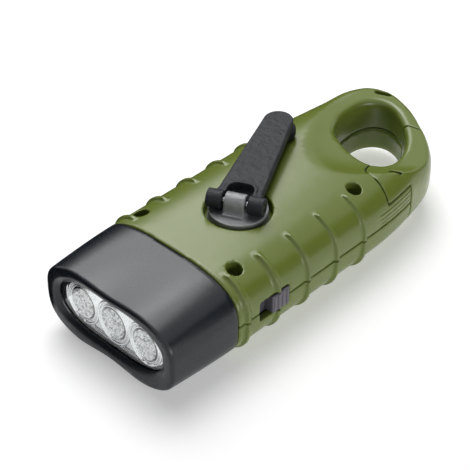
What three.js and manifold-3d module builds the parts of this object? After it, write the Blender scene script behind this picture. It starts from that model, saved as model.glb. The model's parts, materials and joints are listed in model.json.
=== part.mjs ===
// Hand crank flashlight with a carabiner ring, as an assembly of separate solids.
// Millimetres. +X is the beam, +Y the switch side, +Z up; the origin is under the middle of the case.
import * as THREE from 'three';
import { mergeVertices } from 'three/addons/utils/BufferGeometryUtils.js';
import Module from 'manifold-3d';

const wasm = await Module();
wasm.setup();

// Case
const length = 128;
const width = 49.4;
const depth = 26;
const wall = 2.2;
const gap = 0.3;
const overrun = 2;
const caseSquareness = 3;
const baseSink = 0.5;
const headLength = 0.18 * length;
const taperLength = 0.234 * length;
const ringReach = 0.164 * length;
const farTuck = 0.0425 * width;
const nearTuck = 0.087 * width;

const halfWidth = width / 2;
const mid = depth / 2;
const frontX = length / 2;
const tailX = -length / 2;
const junctionX = frontX - headLength;
const ringX = tailX + ringReach;
const taperX = ringX + taperLength;

// Ring end: dished top, raised underside, finger hole and spring gate
const dishEdgeX = taperX - 0.15 * taperLength;
const dishFloor = 0.8385 * depth;
const dishFlatX = ringX - 0.1 * taperLength;
const dishTiltShare = 0.12;
const underLift = 0.192 * depth;
const underEdgeX = taperX - 0.367 * taperLength;
const leadX = ringX + taperLength / 3;
const holeHalfLength = 0.1047 * length;
const holeHalfWidth = 0.241 * width;
const holeX = ringX + 0.0137 * length;
const rimRound = 1.8;
const gatePivot = { x: holeX + 0.109 * length, y: 0.344 * width };
const knuckleRadius = 5.8;
const gateColumnRadius = 5.7;
const gateReach = 0.2094 * length;
const gateDrop = 0.3036 * width;
const lapAngle = 18;
const lapReach = 7;
const lapEndX = gatePivot.x + lapReach;
const ledgeTop = 0.7058 * depth;
const tongueSetback = 4.3;
const tongueEndX = gatePivot.x - tongueSetback;
const gatePinRadius = 1;
const gatePinBase = 0.308 * depth;
const springRadius = 2.3;
const springWire = 0.35;
const springTurns = 3;
const springFlatness = 0.6;
const markRadius = 0.5;
const markDepth = 1.2;
const gateMarkShares = [[-0.36, 0.14], [-0.5, 0.42]];
const tailMarkShares = [[0.671, -0.441], [0.752, -0.32]];

// Grip ribs
const ribCount = 5;
const ribPitch = 0.0908 * length;
const ribSetback = 3.3;
const ribWidth = 1.9;
const ribHeight = 0.8;
const ribSpanAngle = 58;

// Case screws
const screwX = [junctionX - 0.0516 * length, junctionX - 0.4227 * length];
const screwNearY = 0.336 * width;
const screwFarY = 0.364 * width;
const columnRadius = 3.8;
const counterboreRadius = 2.2;
const screwSeat = 0.654 * depth;
const shankRadius = 1;
const screwHeadRadius = 1.9;
const screwHeadHeight = 1.6;
const pilotRun = 1;

// Crank
const hubX = junctionX - 0.19 * length;
const hubY = 0.0243 * width;
const crankAngle = 180 + 25.3;
const recessRadius = 9.35;
const recessFloor = 0.869 * depth;
const recessFloorThickness = 0.069 * depth;
const discRadius = 8.2;
const discFlangeRadius = 9;
const discFlangeHeight = 2.5;
const discTop = depth + gap;
const hubShaftRadius = 3;
const hubFlatShare = 0.75;
const hubScrewHeadRadius = 2.4;
const hubScrewHeadHeight = 1;
const washerRadius = 4;
const hingeBack = 1.8;
const hingeRise = 2.9;
const hingeHeight = discTop + hingeRise;
const barrelRadius = 2.6;
const barrelLength = 16;
const knuckleWidth = 5.7;
const knuckleRoot = 1;
const knuckleStep = 1.2;
const hingePinRadius = 0.9;
const armLength = 0.297 * length;
const armRootHalf = 6.2;
const armTipRadius = 4.3;
const armDepth = 2.5;
const armSkin = 1.2;
const armSlope = 1;
const armCrown = 1.4;
const armRootTop = hingeHeight + armCrown;
const armTipTop = armRootTop + armSlope;
const armRootRun = 0.8;
const armWindowReach = 4;
const armChannelSetback = 5.5;
const armTipWall = 1;
const armCover = 1;
const knobRadius = 5.1;
const knobHeight = 2.55;
const knobTop = armTipTop - armDepth - gap / 2;
const knobBase = knobTop - knobHeight;
const knobBevel = 0.6;
const knobScrewRadius = 0.9;
const knobScrewHeadRadius = 2;
const knobScrewHeadHeight = 0.8;
const knobScrewSink = 1;
const knobScrewCover = 1.4;

// Gear train, as large as the case lets it be
const trainSize = Math.min(0.1531 * length, 0.3968 * width);
const gearModule = trainSize / 28;
const pressureAngle = 25;
const addendumShare = 0.8;
const dedendumShare = 1.05;
const backlash = 0.22;
const crankTeeth = 46;
const pinionTeeth = 10;
const wheelOneTeeth = 34;
const wheelTwoTeeth = 30;
const rotorTeeth = 9;
const gearThickness = 0.0846 * depth;
const crankGearBase = 0.6885 * depth;
const wheelOneBase = 0.5654 * depth;
const wheelTwoBase = 0.4654 * depth;
const idlerOneAngle = 180;
const idlerTwoAngle = -40;
const rotorAngle = 65;
const idlerPinRadius = 0.8;
const plateBase = 0.3885 * depth;
const plateThickness = 0.0615 * depth;
const plateLobe = 3.4;
const plateBossRadius = 2.6;
const plateScrewHeadHeight = 1.2;
const plateShares = [[0.561, -0.867], [-1.76, -0.612], [-0.689, 0.944]];

// Generator under the plate
const canRadius = 0.658 * trainSize;
const canBase = 0.154 * depth;
const sheet = 0.8;
const magnetRadius = 0.413 * trainSize;
const poleThickness = 0.6;
const poleCount = 10;
const rotorShaftRadius = 0.75;

// Cells, boards and the slide switch
const cellRadius = 0.51 * trainSize;
const cellHeight = 0.1077 * depth;
const holderBase = wall + 0.0288 * depth;
const cellBevel = 0.5;
const holderFloor = 0.5;
const holderX = hubX - 1.372 * trainSize;
const boardThickness = 1.2;
const boardLength = 0.094 * length;
const boardBelow = 0.3077 * depth;
const boardAbove = 0.1346 * depth;
const boardFace = halfWidth - 0.15 * width;
const switchX = junctionX - 0.1063 * length;
const slotLength = 11.2;
const slotHeight = 6.2;
const slotRise = 0.2;
const slotZ = mid + slotRise;
const switchTravel = 4;
const switchKnobLength = 6.4;
const switchPlay = 0.1;
const switchProud = 0.35;
const switchGripHalf = 0.45;
const switchBodyDepth = 2.4;
const switchFlange = 0.5;
const switchFlangeReach = 1;
const switchFlangeLip = 0.7;

// Solar cell under a clear window in the underside
const solarLength = 0.3125 * length;
const solarWidth = 0.486 * width;
const solarX = 0.0625 * length;
const solarLedge = 1.4;
const windowThickness = 1.1;
const windowBase = 0.1;

// Head: bezel, lens, reflector and lamps
const frontHalf = halfWidth - 0.02 * width;
const frontAbove = mid - 0.0538 * depth;
const frontBelow = mid - 0.0154 * depth;
const waistAbove = 1;
const waistBelow = 1.5;
const waistSpread = 0.62;
const edgeRound = 1;
const headEase = 1.6;
const windowHalf = 0.425 * width;
const windowHeight = 0.381 * depth;
const windowWaist = 0.7;
const windowSquareness = 2.6;
const lensLip = 1.2;
const frontWall = 1.2;
const lensHalf = windowHalf - 0.0385 * width;
const lensHeight = windowHeight - 0.0885 * depth;
const lensThickness = 0.8;
const lampHeight = 5.4;
const ledScrewSetout = 6.6;
const reflectorDepth = 8.4;
const cupPitch = 0.2368 * width;
const cupRadius = 0.1154 * width;
const cupNeck = 3.2;
const lampRadius = 2.5;
const lampFlange = 0.35;
const lampFlangeHeight = 1;
const ledScrewRadius = 0.8;
const ledScrewHeadRadius = 1.6;
const ledScrewHeadHeight = 1.1;
const ledScrewLength = 6;
const spigotLength = 6;
const spigotWall = 1.8;
const spigotRib = 0.8;
const spigotRibWidth = 1.4;
const collarRoot = 1;
const collarRun = 4;

const materials = {
  shell: material(0x6f7f3e, 0.5, 0),
  black: material(0x1d1f22, 0.45, 0),
  crank: material(0x3a3c42, 0.6, 0),
  knob: material(0x151618, 0.55, 0),
  clear: material(0xe8eef0, 0.08, 0),
  chrome: material(0xd8dadc, 0.12, 1),
  steel: material(0xa9acb0, 0.3, 1),
  brass: material(0xb79a55, 0.35, 1),
  nylon: material(0xe6e2d6, 0.5, 0),
  board: material(0x1f5a38, 0.5, 0),
  cell: material(0x1b2340, 0.25, 0.2),
  copper: material(0xa9622f, 0.35, 1),
  magnet: material(0x303236, 0.4, 0.6),
};

const torch = new THREE.Group();

function material(color, roughness, metalness) {
  return new THREE.MeshStandardMaterial({ color, roughness, metalness });
}

function radians(degrees) {
  return THREE.MathUtils.degToRad(degrees);
}

// Solids and booleans

function positionsOf(geometry) {
  const bare = new THREE.BufferGeometry();
  bare.setAttribute('position', geometry.getAttribute('position').clone());
  if (geometry.index) bare.setIndex(geometry.index.clone());
  return mergeVertices(bare);
}

function solid(geometry) {
  const merged = positionsOf(geometry);
  const points = merged.getAttribute('position').array;
  const kept = [];
  let volume = 0;
  const [a, b, c] = [new THREE.Vector3(), new THREE.Vector3(), new THREE.Vector3()];
  for (let i = 0; i < merged.index.count; i += 3) {
    const [p, q, r] = [0, 1, 2].map((k) => merged.index.getX(i + k));
    if (p === q || q === r || r === p) continue;
    kept.push([p, q, r]);
    a.fromArray(points, 3 * p);
    b.fromArray(points, 3 * q);
    c.fromArray(points, 3 * r);
    volume += a.dot(b.cross(c));
  }
  const triVerts = new Uint32Array(kept.flatMap((t) => (volume < 0 ? [t[0], t[2], t[1]] : t)));
  return new wasm.Manifold(new wasm.Mesh({ numProp: 3, vertProperties: points, triVerts }));
}

function unite(...solids) {
  return solids.reduce((whole, next) => whole.add(next));
}

function cut(body, ...tools) {
  return tools.reduce((whole, tool) => whole.subtract(tool), body);
}

function place(name, body, finish, parent = torch) {
  const mesh = body.getMesh();
  const geometry = new THREE.BufferGeometry();
  geometry.setAttribute('position', new THREE.BufferAttribute(mesh.vertProperties, 3));
  geometry.setIndex(new THREE.BufferAttribute(mesh.triVerts, 1));
  geometry.computeVertexNormals();
  const part = new THREE.Mesh(geometry, finish);
  part.name = name;
  parent.add(part);
  return part;
}

// Shape makers

function prism(outline, z0, z1) {
  const shape = new THREE.Shape(outline.map(([x, y]) => new THREE.Vector2(x, y)));
  const geometry = new THREE.ExtrudeGeometry(shape, { depth: z1 - z0, bevelEnabled: false });
  return solid(geometry.translate(0, 0, z0));
}

function block(x0, x1, y0, y1, z0, z1) {
  const geometry = new THREE.BoxGeometry(x1 - x0, y1 - y0, z1 - z0);
  return solid(geometry.translate((x0 + x1) / 2, (y0 + y1) / 2, (z0 + z1) / 2));
}

function drum(x, y, radius, z0, z1, sides = 20) {
  const geometry = new THREE.CylinderGeometry(radius, radius, z1 - z0, sides);
  return solid(geometry.rotateX(Math.PI / 2).translate(x, y, (z0 + z1) / 2));
}

// A turned solid about the z axis from [radius, height] pairs
function turned(profile, sides = 20) {
  const points = profile.map(([r, z]) => new THREE.Vector2(r, z));
  return solid(new THREE.LatheGeometry(points, sides).rotateX(Math.PI / 2));
}

// A skin over rings of equal point counts, closed by a fan at each end where capped
function skin(rings, capped = true) {
  const count = rings[0].length;
  const points = rings.flat();
  const faces = [];
  for (let r = 0; r + 1 < rings.length; r += 1) {
    for (let i = 0; i < count; i += 1) {
      const next = (i + 1) % count;
      const [p, q] = [r * count + i, r * count + next];
      faces.push(p, q, q + count, p, q + count, p + count);
    }
  }
  if (capped) {
    [0, rings.length - 1].forEach((r) => {
      const centre = rings[r].reduce((sum, p) => sum.add(p), new THREE.Vector3()).divideScalar(count);
      points.push(centre);
      for (let i = 0; i < count; i += 1) {
        const [p, q] = [r * count + i, r * count + ((i + 1) % count)];
        faces.push(...(r === 0 ? [points.length - 1, q, p] : [points.length - 1, p, q]));
      }
    });
  }
  const geometry = new THREE.BufferGeometry().setFromPoints(points);
  geometry.setIndex(faces);
  return solid(geometry);
}

// Cosine and sine drawn out into the corners of a superellipse
function squareTurn(angle, squareness = caseSquareness) {
  const stretch = (v) => Math.sign(v) * Math.abs(v) ** (2 / squareness);
  return [stretch(Math.cos(angle)), stretch(Math.sin(angle))];
}

// A section across the torch at x: half width, height above and below the middle, and the waists there
function section(x, half, up, down, { waist = [0, 0], squareness = caseSquareness, sides = 40 } = {}) {
  const ring = [];
  for (let i = 0; i < sides; i += 1) {
    const [c, s] = squareTurn((2 * Math.PI * i) / sides, squareness);
    const y = half * c;
    const pinch = (1 + Math.cos(Math.PI * Math.min(1, Math.abs(c) / waistSpread))) / 2;
    const z = mid + (s > 0 ? up - waist[0] * pinch : down - waist[1] * pinch) * s;
    ring.push(new THREE.Vector3(x, y, Math.max(0, z)));
  }
  return ring;
}

// A smooth closed or open line through points, with two steps between neighbours
function smoothLine(points, closed) {
  const curve = new THREE.CatmullRomCurve3(
    points.map(([x, y]) => new THREE.Vector3(x, y, 0)), closed, 'centripetal');
  const spans = closed ? points.length : points.length - 1;
  const steps = Array.from({ length: 2 * spans + (closed ? 0 : 1) }, (_, i) => i / (2 * spans));
  return steps.map((t) => curve.getPoint(t)).map((p) => [p.x, p.y]);
}

// Case form

function sideEase(x) {
  return Math.max(0, (taperX - x) / taperLength) ** 2;
}

function farHalf(x) {
  return halfWidth - farTuck * sideEase(x);
}

function nearHalf(x) {
  return halfWidth - nearTuck * sideEase(x);
}

// Tail of the ring in plan, as shares of the ring's reach and of the half width, far side first
const tailShares = [
  [0.485, -0.872], [0.83, -0.7], [0.975, -0.384], [0.892, -0.066], [0.75, 0.168], [0.635, 0.308],
  [0.528, 0.442], [0.396, 0.576], [0.228, 0.712],
];

// Finger hole in plan, as shares of its half length and half width
const holeShares = [
  [0.732, -0.476], [0.5, -0.69], [0.18, -0.84], [-0.289, -0.911], [-0.56, -0.887], [-0.782, -0.79],
  [-0.94, -0.621], [-1.004, -0.4], [-0.968, -0.129], [-0.832, 0.185], [-0.632, 0.484], [-0.361, 0.766],
  [-0.054, 0.968], [0.239, 1.081], [0.554, 1.12], [0.839, 1.03], [0.989, 0.8], [1.011, 0.484],
  [0.961, 0.161], [0.854, -0.185],
];

function dishHeight(x, y) {
  const rise = (depth - dishFloor) / (dishEdgeX - dishFlatX) ** 2;
  return dishFloor + rise * Math.max(0, x - dishFlatX) ** 2 - dishTiltShare * y;
}

function underHeight(x) {
  const drop = (underLift + baseSink) / (underEdgeX - ringX) ** 2;
  return underLift - drop * Math.max(0, x - ringX) ** 2;
}

function caseOutline() {
  const stations = [junctionX - gap / 2, junctionX / 2, 0, taperX, (taperX + leadX) / 2, leadX];
  const tail = smoothLine([
    [leadX, -farHalf(leadX)],
    [ringX, -farHalf(ringX)],
    ...tailShares.map(([along, across]) => [ringX - along * ringReach, across * halfWidth]),
    [ringX, nearHalf(ringX)],
    [leadX, nearHalf(leadX)],
  ], false).filter(([x]) => x < ringX - gap);
  const far = [...stations, ringX].map((x) => [x, -farHalf(x)]);
  const near = [...stations, ringX].reverse().map((x) => [x, nearHalf(x)]);
  return [...far, ...tail, ...near];
}

function caseForm() {
  const rows = 14;
  const outline = caseOutline();
  const rings = [];
  for (let row = 0; row <= rows; row += 1) {
    const [shrink, rise] = squareTurn(-Math.PI / 2 + (Math.PI * row) / rows);
    const z = Math.max(0, mid + rise * (rise > 0 ? mid : mid + baseSink));
    rings.push(outline.map(([x, y]) => {
      const behind = Math.min(0, x - ringX);
      return new THREE.Vector3(x - behind + behind * shrink, y * shrink, z);
    }));
  }
  return skin(rings, false);
}

// One raised bar round a side of the case, faired in at both ends
function ribBar(x, side) {
  const half = side > 0 ? nearHalf(x) : farHalf(x);
  const steps = 12;
  const rings = [];
  for (let i = 0; i <= steps; i += 1) {
    const turn = radians(-ribSpanAngle + (2 * ribSpanAngle * i) / steps);
    const [c, s] = squareTurn(turn);
    const fair = Math.min(1, (1.5 * Math.min(i, steps - i)) / 3);
    const lift = ribHeight * fair - (1 - fair) * ribHeight;
    const point = (reach, dx) => new THREE.Vector3(
      x + dx, side * (half * c + reach * Math.cos(turn)), mid + (mid + baseSink * (s < 0)) * s + reach * s);
    rings.push([
      point(-ribHeight, -ribWidth / 2), point(lift, -ribWidth / 4),
      point(lift, ribWidth / 4), point(-ribHeight, ribWidth / 2),
    ]);
  }
  return skin(rings);
}

function ribPlaces() {
  return Array.from({ length: ribCount }, (_, i) => junctionX - ribSetback - i * ribPitch);
}

// Slabs above the dish and below the raised underside, as wide as the case and more
function dishCutter() {
  const [x0, x1] = [tailX - overrun, dishEdgeX + ribPitch];
  const steps = 10;
  const rings = Array.from({ length: steps + 1 }, (_, i) => {
    const x = x0 + ((x1 - x0) * i) / steps;
    return [
      new THREE.Vector3(x, -width, dishHeight(x, -width)), new THREE.Vector3(x, width, dishHeight(x, width)),
      new THREE.Vector3(x, width, 2 * depth), new THREE.Vector3(x, -width, 2 * depth),
    ];
  });
  return skin(rings);
}

function underCutter() {
  const [x0, x1] = [tailX - overrun, underEdgeX];
  const steps = 8;
  const rings = Array.from({ length: steps + 1 }, (_, i) => {
    const x = x0 + ((x1 - x0) * i) / steps;
    const z = underHeight(x);
    return [
      new THREE.Vector3(x, -width, -depth), new THREE.Vector3(x, width, -depth),
      new THREE.Vector3(x, width, z), new THREE.Vector3(x, -width, z),
    ];
  });
  return skin(rings);
}

function grown(outline, by) {
  const count = outline.length;
  return outline.map(([x, y], i) => {
    const [px, py] = outline[(i + count - 1) % count];
    const [nx, ny] = outline[(i + 1) % count];
    const [tx, ty] = [nx - px, ny - py];
    const size = Math.hypot(tx, ty);
    return [x + (by * ty) / size, y - (by * tx) / size];
  });
}

// The finger hole, flared at both rims by a quarter round that runs on past the surface
function holeCutter() {
  const outline = smoothLine(
    holeShares.map(([along, across]) => [holeX + along * holeHalfLength, across * holeHalfWidth]), true)
    .reverse();
  const near = rimRound * (1 - Math.SQRT1_2);
  const over = rimRound + (rimRound - near) / 2;
  const levels = [
    [over, (x) => underHeight(x) - 2 * rimRound],
    [over, (x) => underHeight(x) - near / 2],
    [near, (x) => underHeight(x) + near],
    [0, (x) => underHeight(x) + rimRound],
    [0, (x, y) => dishHeight(x, y) - rimRound],
    [near, (x, y) => dishHeight(x, y) - near],
    [over, (x, y) => dishHeight(x, y) + near / 2],
    [over, (x, y) => dishHeight(x, y) + 2 * rimRound],
  ];
  return skin(levels.map(([flare, height]) => grown(outline, flare)
    .map(([x, y]) => new THREE.Vector3(x, y, height(x, y)))));
}

// Room of the gate: below the ledge it stops at the tongue, above it laps over to the knuckle.
// With a clearance the room also frees the gate's heel where it swings past the column.
function gateRoom(clear) {
  const { x, y } = gatePivot;
  const far = 2 * width;
  const seat = ledgeTop + gap - clear;
  const sweep = drum(x, y, gateReach + clear, -far, far, 96);
  const ringSide = block(x - far, x, y - gateDrop, far, -far, far);
  const lower = cut(
    sweep.intersect(ringSide).intersect(block(-far, tongueEndX - gap + clear, -far, far, -far, far)),
    drum(x, y, gateColumnRadius + gap - clear, -far, seat, 48));
  const lean = radians(lapAngle);
  const reach = knuckleRadius - gap / 2;
  const heel = [x + reach * Math.cos(lean), y - reach * Math.sin(lean)];
  const root = tongueEndX - overrun;
  const lap = prism([
    [root, y], [heel[0] - knuckleRadius, heel[1]], [heel[0] + clear, heel[1]],
    [lapEndX + clear, halfWidth], [lapEndX + clear, width], [root, width],
  ], seat, far);
  const upper = unite(lap, drum(x, y, knuckleRadius + clear, seat, far, 48));
  if (!clear) return unite(lower, upper);
  const behindPin = block(-far, x - gatePinRadius, -far, y, -far, far);
  const relief = cut(
    drum(x, y, knuckleRadius + wall, -far, far, 48), drum(x, y, gateColumnRadius, -far, far, 48));
  return unite(lower, upper, relief.intersect(behindPin));
}

// Space inside the two shells
function caseRoom() {
  const back = underEdgeX + overrun;
  const height = mid - wall;
  const ring = (x) => section(x, Math.min(farHalf(x), nearHalf(x)) - wall, height, height, { sides: 36 });
  return skin([ring(back), ring(taperX), ring(junctionX + overrun)]);
}

function spigotRing(x0, x1, outer, inner) {
  const ring = (x, inset) => section(x, halfWidth - inset, mid - inset, mid - inset, { sides: 36 });
  return cut(
    skin([ring(x0, outer), ring(x1, outer)]),
    skin([ring(x0 - overrun, inner), ring(x1 + overrun, inner)]));
}

// A shallow round-ended slot in the dished top between two spots
function markCutter(spots) {
  const ends = spots.map(([x, y]) => drum(x, y, markRadius, dishHeight(x, y) - markDepth, 2 * depth, 12));
  return wasm.Manifold.hull(ends);
}

const gateMark = gateMarkShares.map(([along, across]) => [
  gatePivot.x + along * knuckleRadius, gatePivot.y + across * knuckleRadius]);
const tailMark = tailMarkShares.map(([along, across]) => [ringX - along * ringReach, across * halfWidth]);
const screwSpots = screwX.flatMap((x) => [[x, -screwFarY], [x, screwNearY]]);
const form = (() => {
  const ribs = ribPlaces().flatMap((x) => [ribBar(x, -1), ribBar(x, 1)]);
  return cut(unite(caseForm(), ...ribs), dishCutter(), underCutter(), holeCutter());
})();
const spigotBack = junctionX - spigotLength;

// Gear train places

const crankRadius = (gearModule * crankTeeth) / 2;
const pinionRadius = (gearModule * pinionTeeth) / 2;
const wheelOneRadius = (gearModule * wheelOneTeeth) / 2;
const wheelTwoRadius = (gearModule * wheelTwoTeeth) / 2;
const rotorPinionRadius = (gearModule * rotorTeeth) / 2;

function stepFrom(from, distance, angle) {
  return { x: from.x + distance * Math.cos(radians(angle)), y: from.y + distance * Math.sin(radians(angle)) };
}

const hub = { x: hubX, y: hubY };
const idlerOne = stepFrom(hub, crankRadius + pinionRadius, idlerOneAngle);
const idlerTwo = stepFrom(idlerOne, wheelOneRadius + pinionRadius, idlerTwoAngle);
const rotor = stepFrom(idlerTwo, wheelTwoRadius + rotorPinionRadius, rotorAngle);

// Turn of a gear that puts a gap of it on the tooth that faces it
function meshTurn(driverTurn, driverTeeth, teeth, lineAngle) {
  const phase = ((radians(lineAngle) - driverTurn) * driverTeeth) / (2 * Math.PI);
  return radians(lineAngle) + Math.PI - ((2 * Math.PI) / teeth) * (0.5 - phase);
}

// An involute gear outline with short teeth; a tooth is centred on angle zero
function gearOutline(teeth) {
  const pitch = (gearModule * teeth) / 2;
  const base = pitch * Math.cos(radians(pressureAngle));
  const tip = pitch + addendumShare * gearModule;
  const root = pitch - dedendumShare * gearModule;
  const involute = (r) => Math.tan(Math.acos(Math.min(1, base / r))) - Math.acos(Math.min(1, base / r));
  const halfTooth = Math.PI / (2 * teeth) - backlash / (2 * pitch);
  const half = (r) => halfTooth + involute(pitch) - involute(Math.max(r, base));
  const levels = [root, pitch, tip];
  const outline = [];
  for (let tooth = 0; tooth < teeth; tooth += 1) {
    const centre = (2 * Math.PI * tooth) / teeth;
    const rise = levels.map((r) => [r, centre - half(r)]);
    const fall = [...levels].reverse().map((r) => [r, centre + half(r)]);
    [...rise, ...fall].forEach(([r, a]) => outline.push([r * Math.cos(a), r * Math.sin(a)]));
  }
  return outline;
}

function gear(teeth, z0, z1) {
  return prism(gearOutline(teeth), z0, z1);
}

// Gearbox plate screws, clear of the gears and of the case columns
const plateSpots = plateShares.map(([along, across]) => [hubX + along * trainSize, across * trainSize]);

function topShell() {
  const above = block(tailX - overrun, frontX, -width, width, mid + gap / 2, 2 * depth);
  const recessUnder = recessFloor - recessFloorThickness;
  const bosses = [
    ...screwSpots.map(([x, y]) => drum(x, y, columnRadius, 0, depth)),
    ...plateSpots.map(([x, y]) => drum(x, y, plateBossRadius, plateBase + plateThickness + gap, depth)),
    drum(hubX, hubY, recessRadius + wall, recessUnder, depth, 24),
    drum(idlerOne.x, idlerOne.y, plateBossRadius, crankGearBase + gearThickness + 2 * gap, depth),
  ];
  const outer = form.intersect(above);
  const walls = cut(outer, caseRoom(), spigotGroove());
  const inside = unite(...bosses).intersect(outer);
  return cut(
    unite(walls, cut(inside, frontKeepOut())),
    gateRoom(gap),
    ...screwSpots.map(([x, y]) => drum(x, y, counterboreRadius, screwSeat, 2 * depth)),
    ...screwSpots.map(([x, y]) => drum(x, y, shankRadius + gap, 0, 2 * depth, 16)),
    ...plateSpots.map(([x, y]) => drum(x, y, idlerPinRadius + gap, 0, crankGearBase + pilotRun, 12)),
    drum(hubX, hubY, recessRadius, recessFloor, 2 * depth, 48),
    drum(hubX, hubY, hubShaftRadius + gap, 0, 2 * depth, 24),
    drum(idlerOne.x, idlerOne.y, idlerPinRadius + gap, 0, depth - wall - gap, 16),
    switchSlot(),
    markCutter(tailMark),
    drum(gatePivot.x, gatePivot.y, gatePinRadius + gap, gatePinBase - gap, 2 * depth, 20),
    drum(gatePivot.x, gatePivot.y, springRadius + springWire + 2 * gap, ledgeTop - wall - gap, 2 * depth, 24),
  );
}

function bottomShell() {
  const below = block(tailX - overrun, frontX, -width, width, -overrun, mid - gap / 2);
  const outer = form.intersect(below);
  const columns = unite(...screwSpots.map(([x, y]) => drum(x, y, columnRadius, 0, depth))).intersect(outer);
  const walls = cut(outer, caseRoom(), spigotGroove());
  return cut(
    unite(walls, cut(columns, frontKeepOut())),
    gateRoom(gap),
    ...screwSpots.map(([x, y]) => drum(x, y, shankRadius + gap, wall, depth, 16)),
    switchSlot(),
    drum(gatePivot.x, gatePivot.y, gatePinRadius + gap, gatePinBase - gap, 2 * depth, 20),
    solarRoom(solarLength, solarWidth, -overrun, solarLedge),
    solarRoom(solarLength - 2 * solarLedge, solarWidth - 2 * solarLedge, -overrun, wall + gap),
  );
}

function solarRoom(long, wide, z0, z1) {
  return block(solarX - long / 2, solarX + long / 2, -wide / 2, wide / 2, z0, z1);
}

function switchSlot() {
  const half = [slotLength / 2, slotHeight / 2];
  return block(
    switchX - half[0], switchX + half[0], halfWidth - 2 * wall, halfWidth + overrun,
    slotZ - half[1], slotZ + half[1]);
}

function spigotGroove() {
  return spigotRing(
    spigotBack + wall - gap, spigotBack + wall + spigotRibWidth + gap,
    wall - spigotRib, wall + overrun);
}

// Nothing of the shells stands where the head's spigot enters
function frontKeepOut() {
  return block(junctionX - gap / 2, frontX, -width, width, -overrun, depth);
}

// Head

function headHalf(x) {
  const share = (x - junctionX) / headLength;
  return halfWidth - (halfWidth - frontHalf) * share ** headEase;
}

function headSection(x, inset, round) {
  const share = Math.max(0, (x - junctionX) / headLength);
  const up = mid - (mid - frontAbove) * share ** headEase - inset - round;
  const sink = inset ? 0 : baseSink * (1 - share);
  const down = mid - (mid - frontBelow) * share ** headEase - inset - round + sink;
  const waist = [waistAbove * share, waistBelow * share];
  return section(x, headHalf(x) - inset - round, up, down, { waist });
}

// A section of the window's shape, larger or smaller than the lens
function windowSection(x, grow, waist = 0, growUp = grow) {
  return section(x, lensHalf + grow, lensHeight + growUp, lensHeight + growUp, {
    waist: [waist, waist], squareness: windowSquareness,
  });
}

function headBezel() {
  const round = (k) => edgeRound * (1 - Math.cos(k));
  const stations = [0, 0.2, 0.45, 0.7].map((k) => [junctionX + gap / 2 + headLength * k, 0]);
  const edge = [0, 0.25, 0.5].map((k) => {
    const turn = Math.PI * k;
    return [frontX - edgeRound + edgeRound * Math.sin(turn), round(turn)];
  });
  const outer = skin([...stations, ...edge].map(([x, r]) => headSection(x, 0, r)));
  const seatBack = reflectorFront() - reflectorDepth;
  const seat = (x) => windowSection(x, lensLip + gap);
  const collarInner = wall + gap + spigotWall;
  const room = skin([
    [junctionX - overrun, collarInner], [junctionX + collarRoot, collarInner],
    [junctionX + collarRun, wall], [seatBack, wall],
  ].map(([x, inset]) => headSection(Math.max(junctionX, x), inset, 0)
    .map((p) => new THREE.Vector3(x, p.y, p.z))));
  const pocket = skin([seat(seatBack - overrun), seat(frontX - frontWall)]);
  const flare = [windowHalf - lensHalf, windowHeight - lensHeight];
  const opening = skin([
    windowSection(frontX - frontWall - overrun, 0, windowWaist / 2),
    windowSection(frontX - frontWall + gap, 0, windowWaist / 2),
    windowSection(frontX, flare[0], windowWaist, flare[1]),
    windowSection(frontX + overrun, flare[0], windowWaist, flare[1]),
  ]);
  const shellSide = junctionX - gap / 2;
  const collar = unite(
    spigotRing(spigotBack, junctionX + collarRoot, wall + gap, collarInner),
    spigotRing(spigotBack + wall, spigotBack + wall + spigotRibWidth, wall + gap - spigotRib, collarInner));
  const notches = screwSpots.slice(0, 2).map(([x, y]) => drum(x, y, columnRadius + gap, -overrun, 2 * depth));
  const slotRoom = block(
    spigotBack - overrun, shellSide - wall, screwNearY, width,
    slotZ - slotHeight - spigotRib, slotZ + slotHeight);
  const shell = cut(outer, room, pocket, opening);
  return unite(shell, cut(collar, ...notches, slotRoom));
}

function reflectorFront() {
  return frontX - frontWall - gap - lensThickness - gap;
}

function frontLens() {
  const back = frontX - frontWall - gap - lensThickness;
  return skin([back, back + lensThickness].map((x) => windowSection(x, lensLip)));
}

function turnedAlongX(profile, y, z, sides = 24) {
  const points = profile.map(([r, x]) => new THREE.Vector2(r, x));
  const geometry = new THREE.LatheGeometry(points, sides);
  return solid(geometry.rotateZ(-Math.PI / 2).translate(0, y, z));
}

function reflector() {
  const front = reflectorFront();
  const back = front - reflectorDepth;
  const cup = (y) => {
    const steps = 4;
    const bowl = Array.from({ length: steps + 1 }, (_, i) => {
      const k = i / steps;
      return [cupNeck + (cupRadius - cupNeck) * Math.sqrt(k), back + reflectorDepth * k];
    });
    const [entry, exit] = [back - overrun, front + overrun];
    return turnedAlongX([[0, entry], [cupNeck, entry], ...bowl, [cupRadius, exit], [0, exit]], y, mid, 24);
  };
  const pilot = ledScrewRadius + gap;
  const pilots = [-1, 1].map((side) => turnedAlongX(
    [[0, back - overrun], [pilot, back - overrun], [pilot, front - wall], [0, front - wall]],
    side * ledScrewY, mid, 12));
  const cups = [-1, 0, 1].map((k) => cup(k * cupPitch));
  return cut(skin([back, front].map((x) => windowSection(x, lensLip))), ...cups, ...pilots);
}

const ledScrewY = cupPitch + ledScrewSetout;
const ledBoardFront = reflectorFront() - reflectorDepth - gap;

function ledBoard() {
  const bore = ledScrewRadius + gap;
  const holes = [-1, 1].map((side) => turnedAlongX(
    [[0, 0], [bore, 0], [bore, frontX], [0, frontX]], side * ledScrewY, mid, 12));
  const faces = [ledBoardFront - boardThickness, ledBoardFront];
  return cut(skin(faces.map((x) => windowSection(x, lensLip))), ...holes);
}

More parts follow.
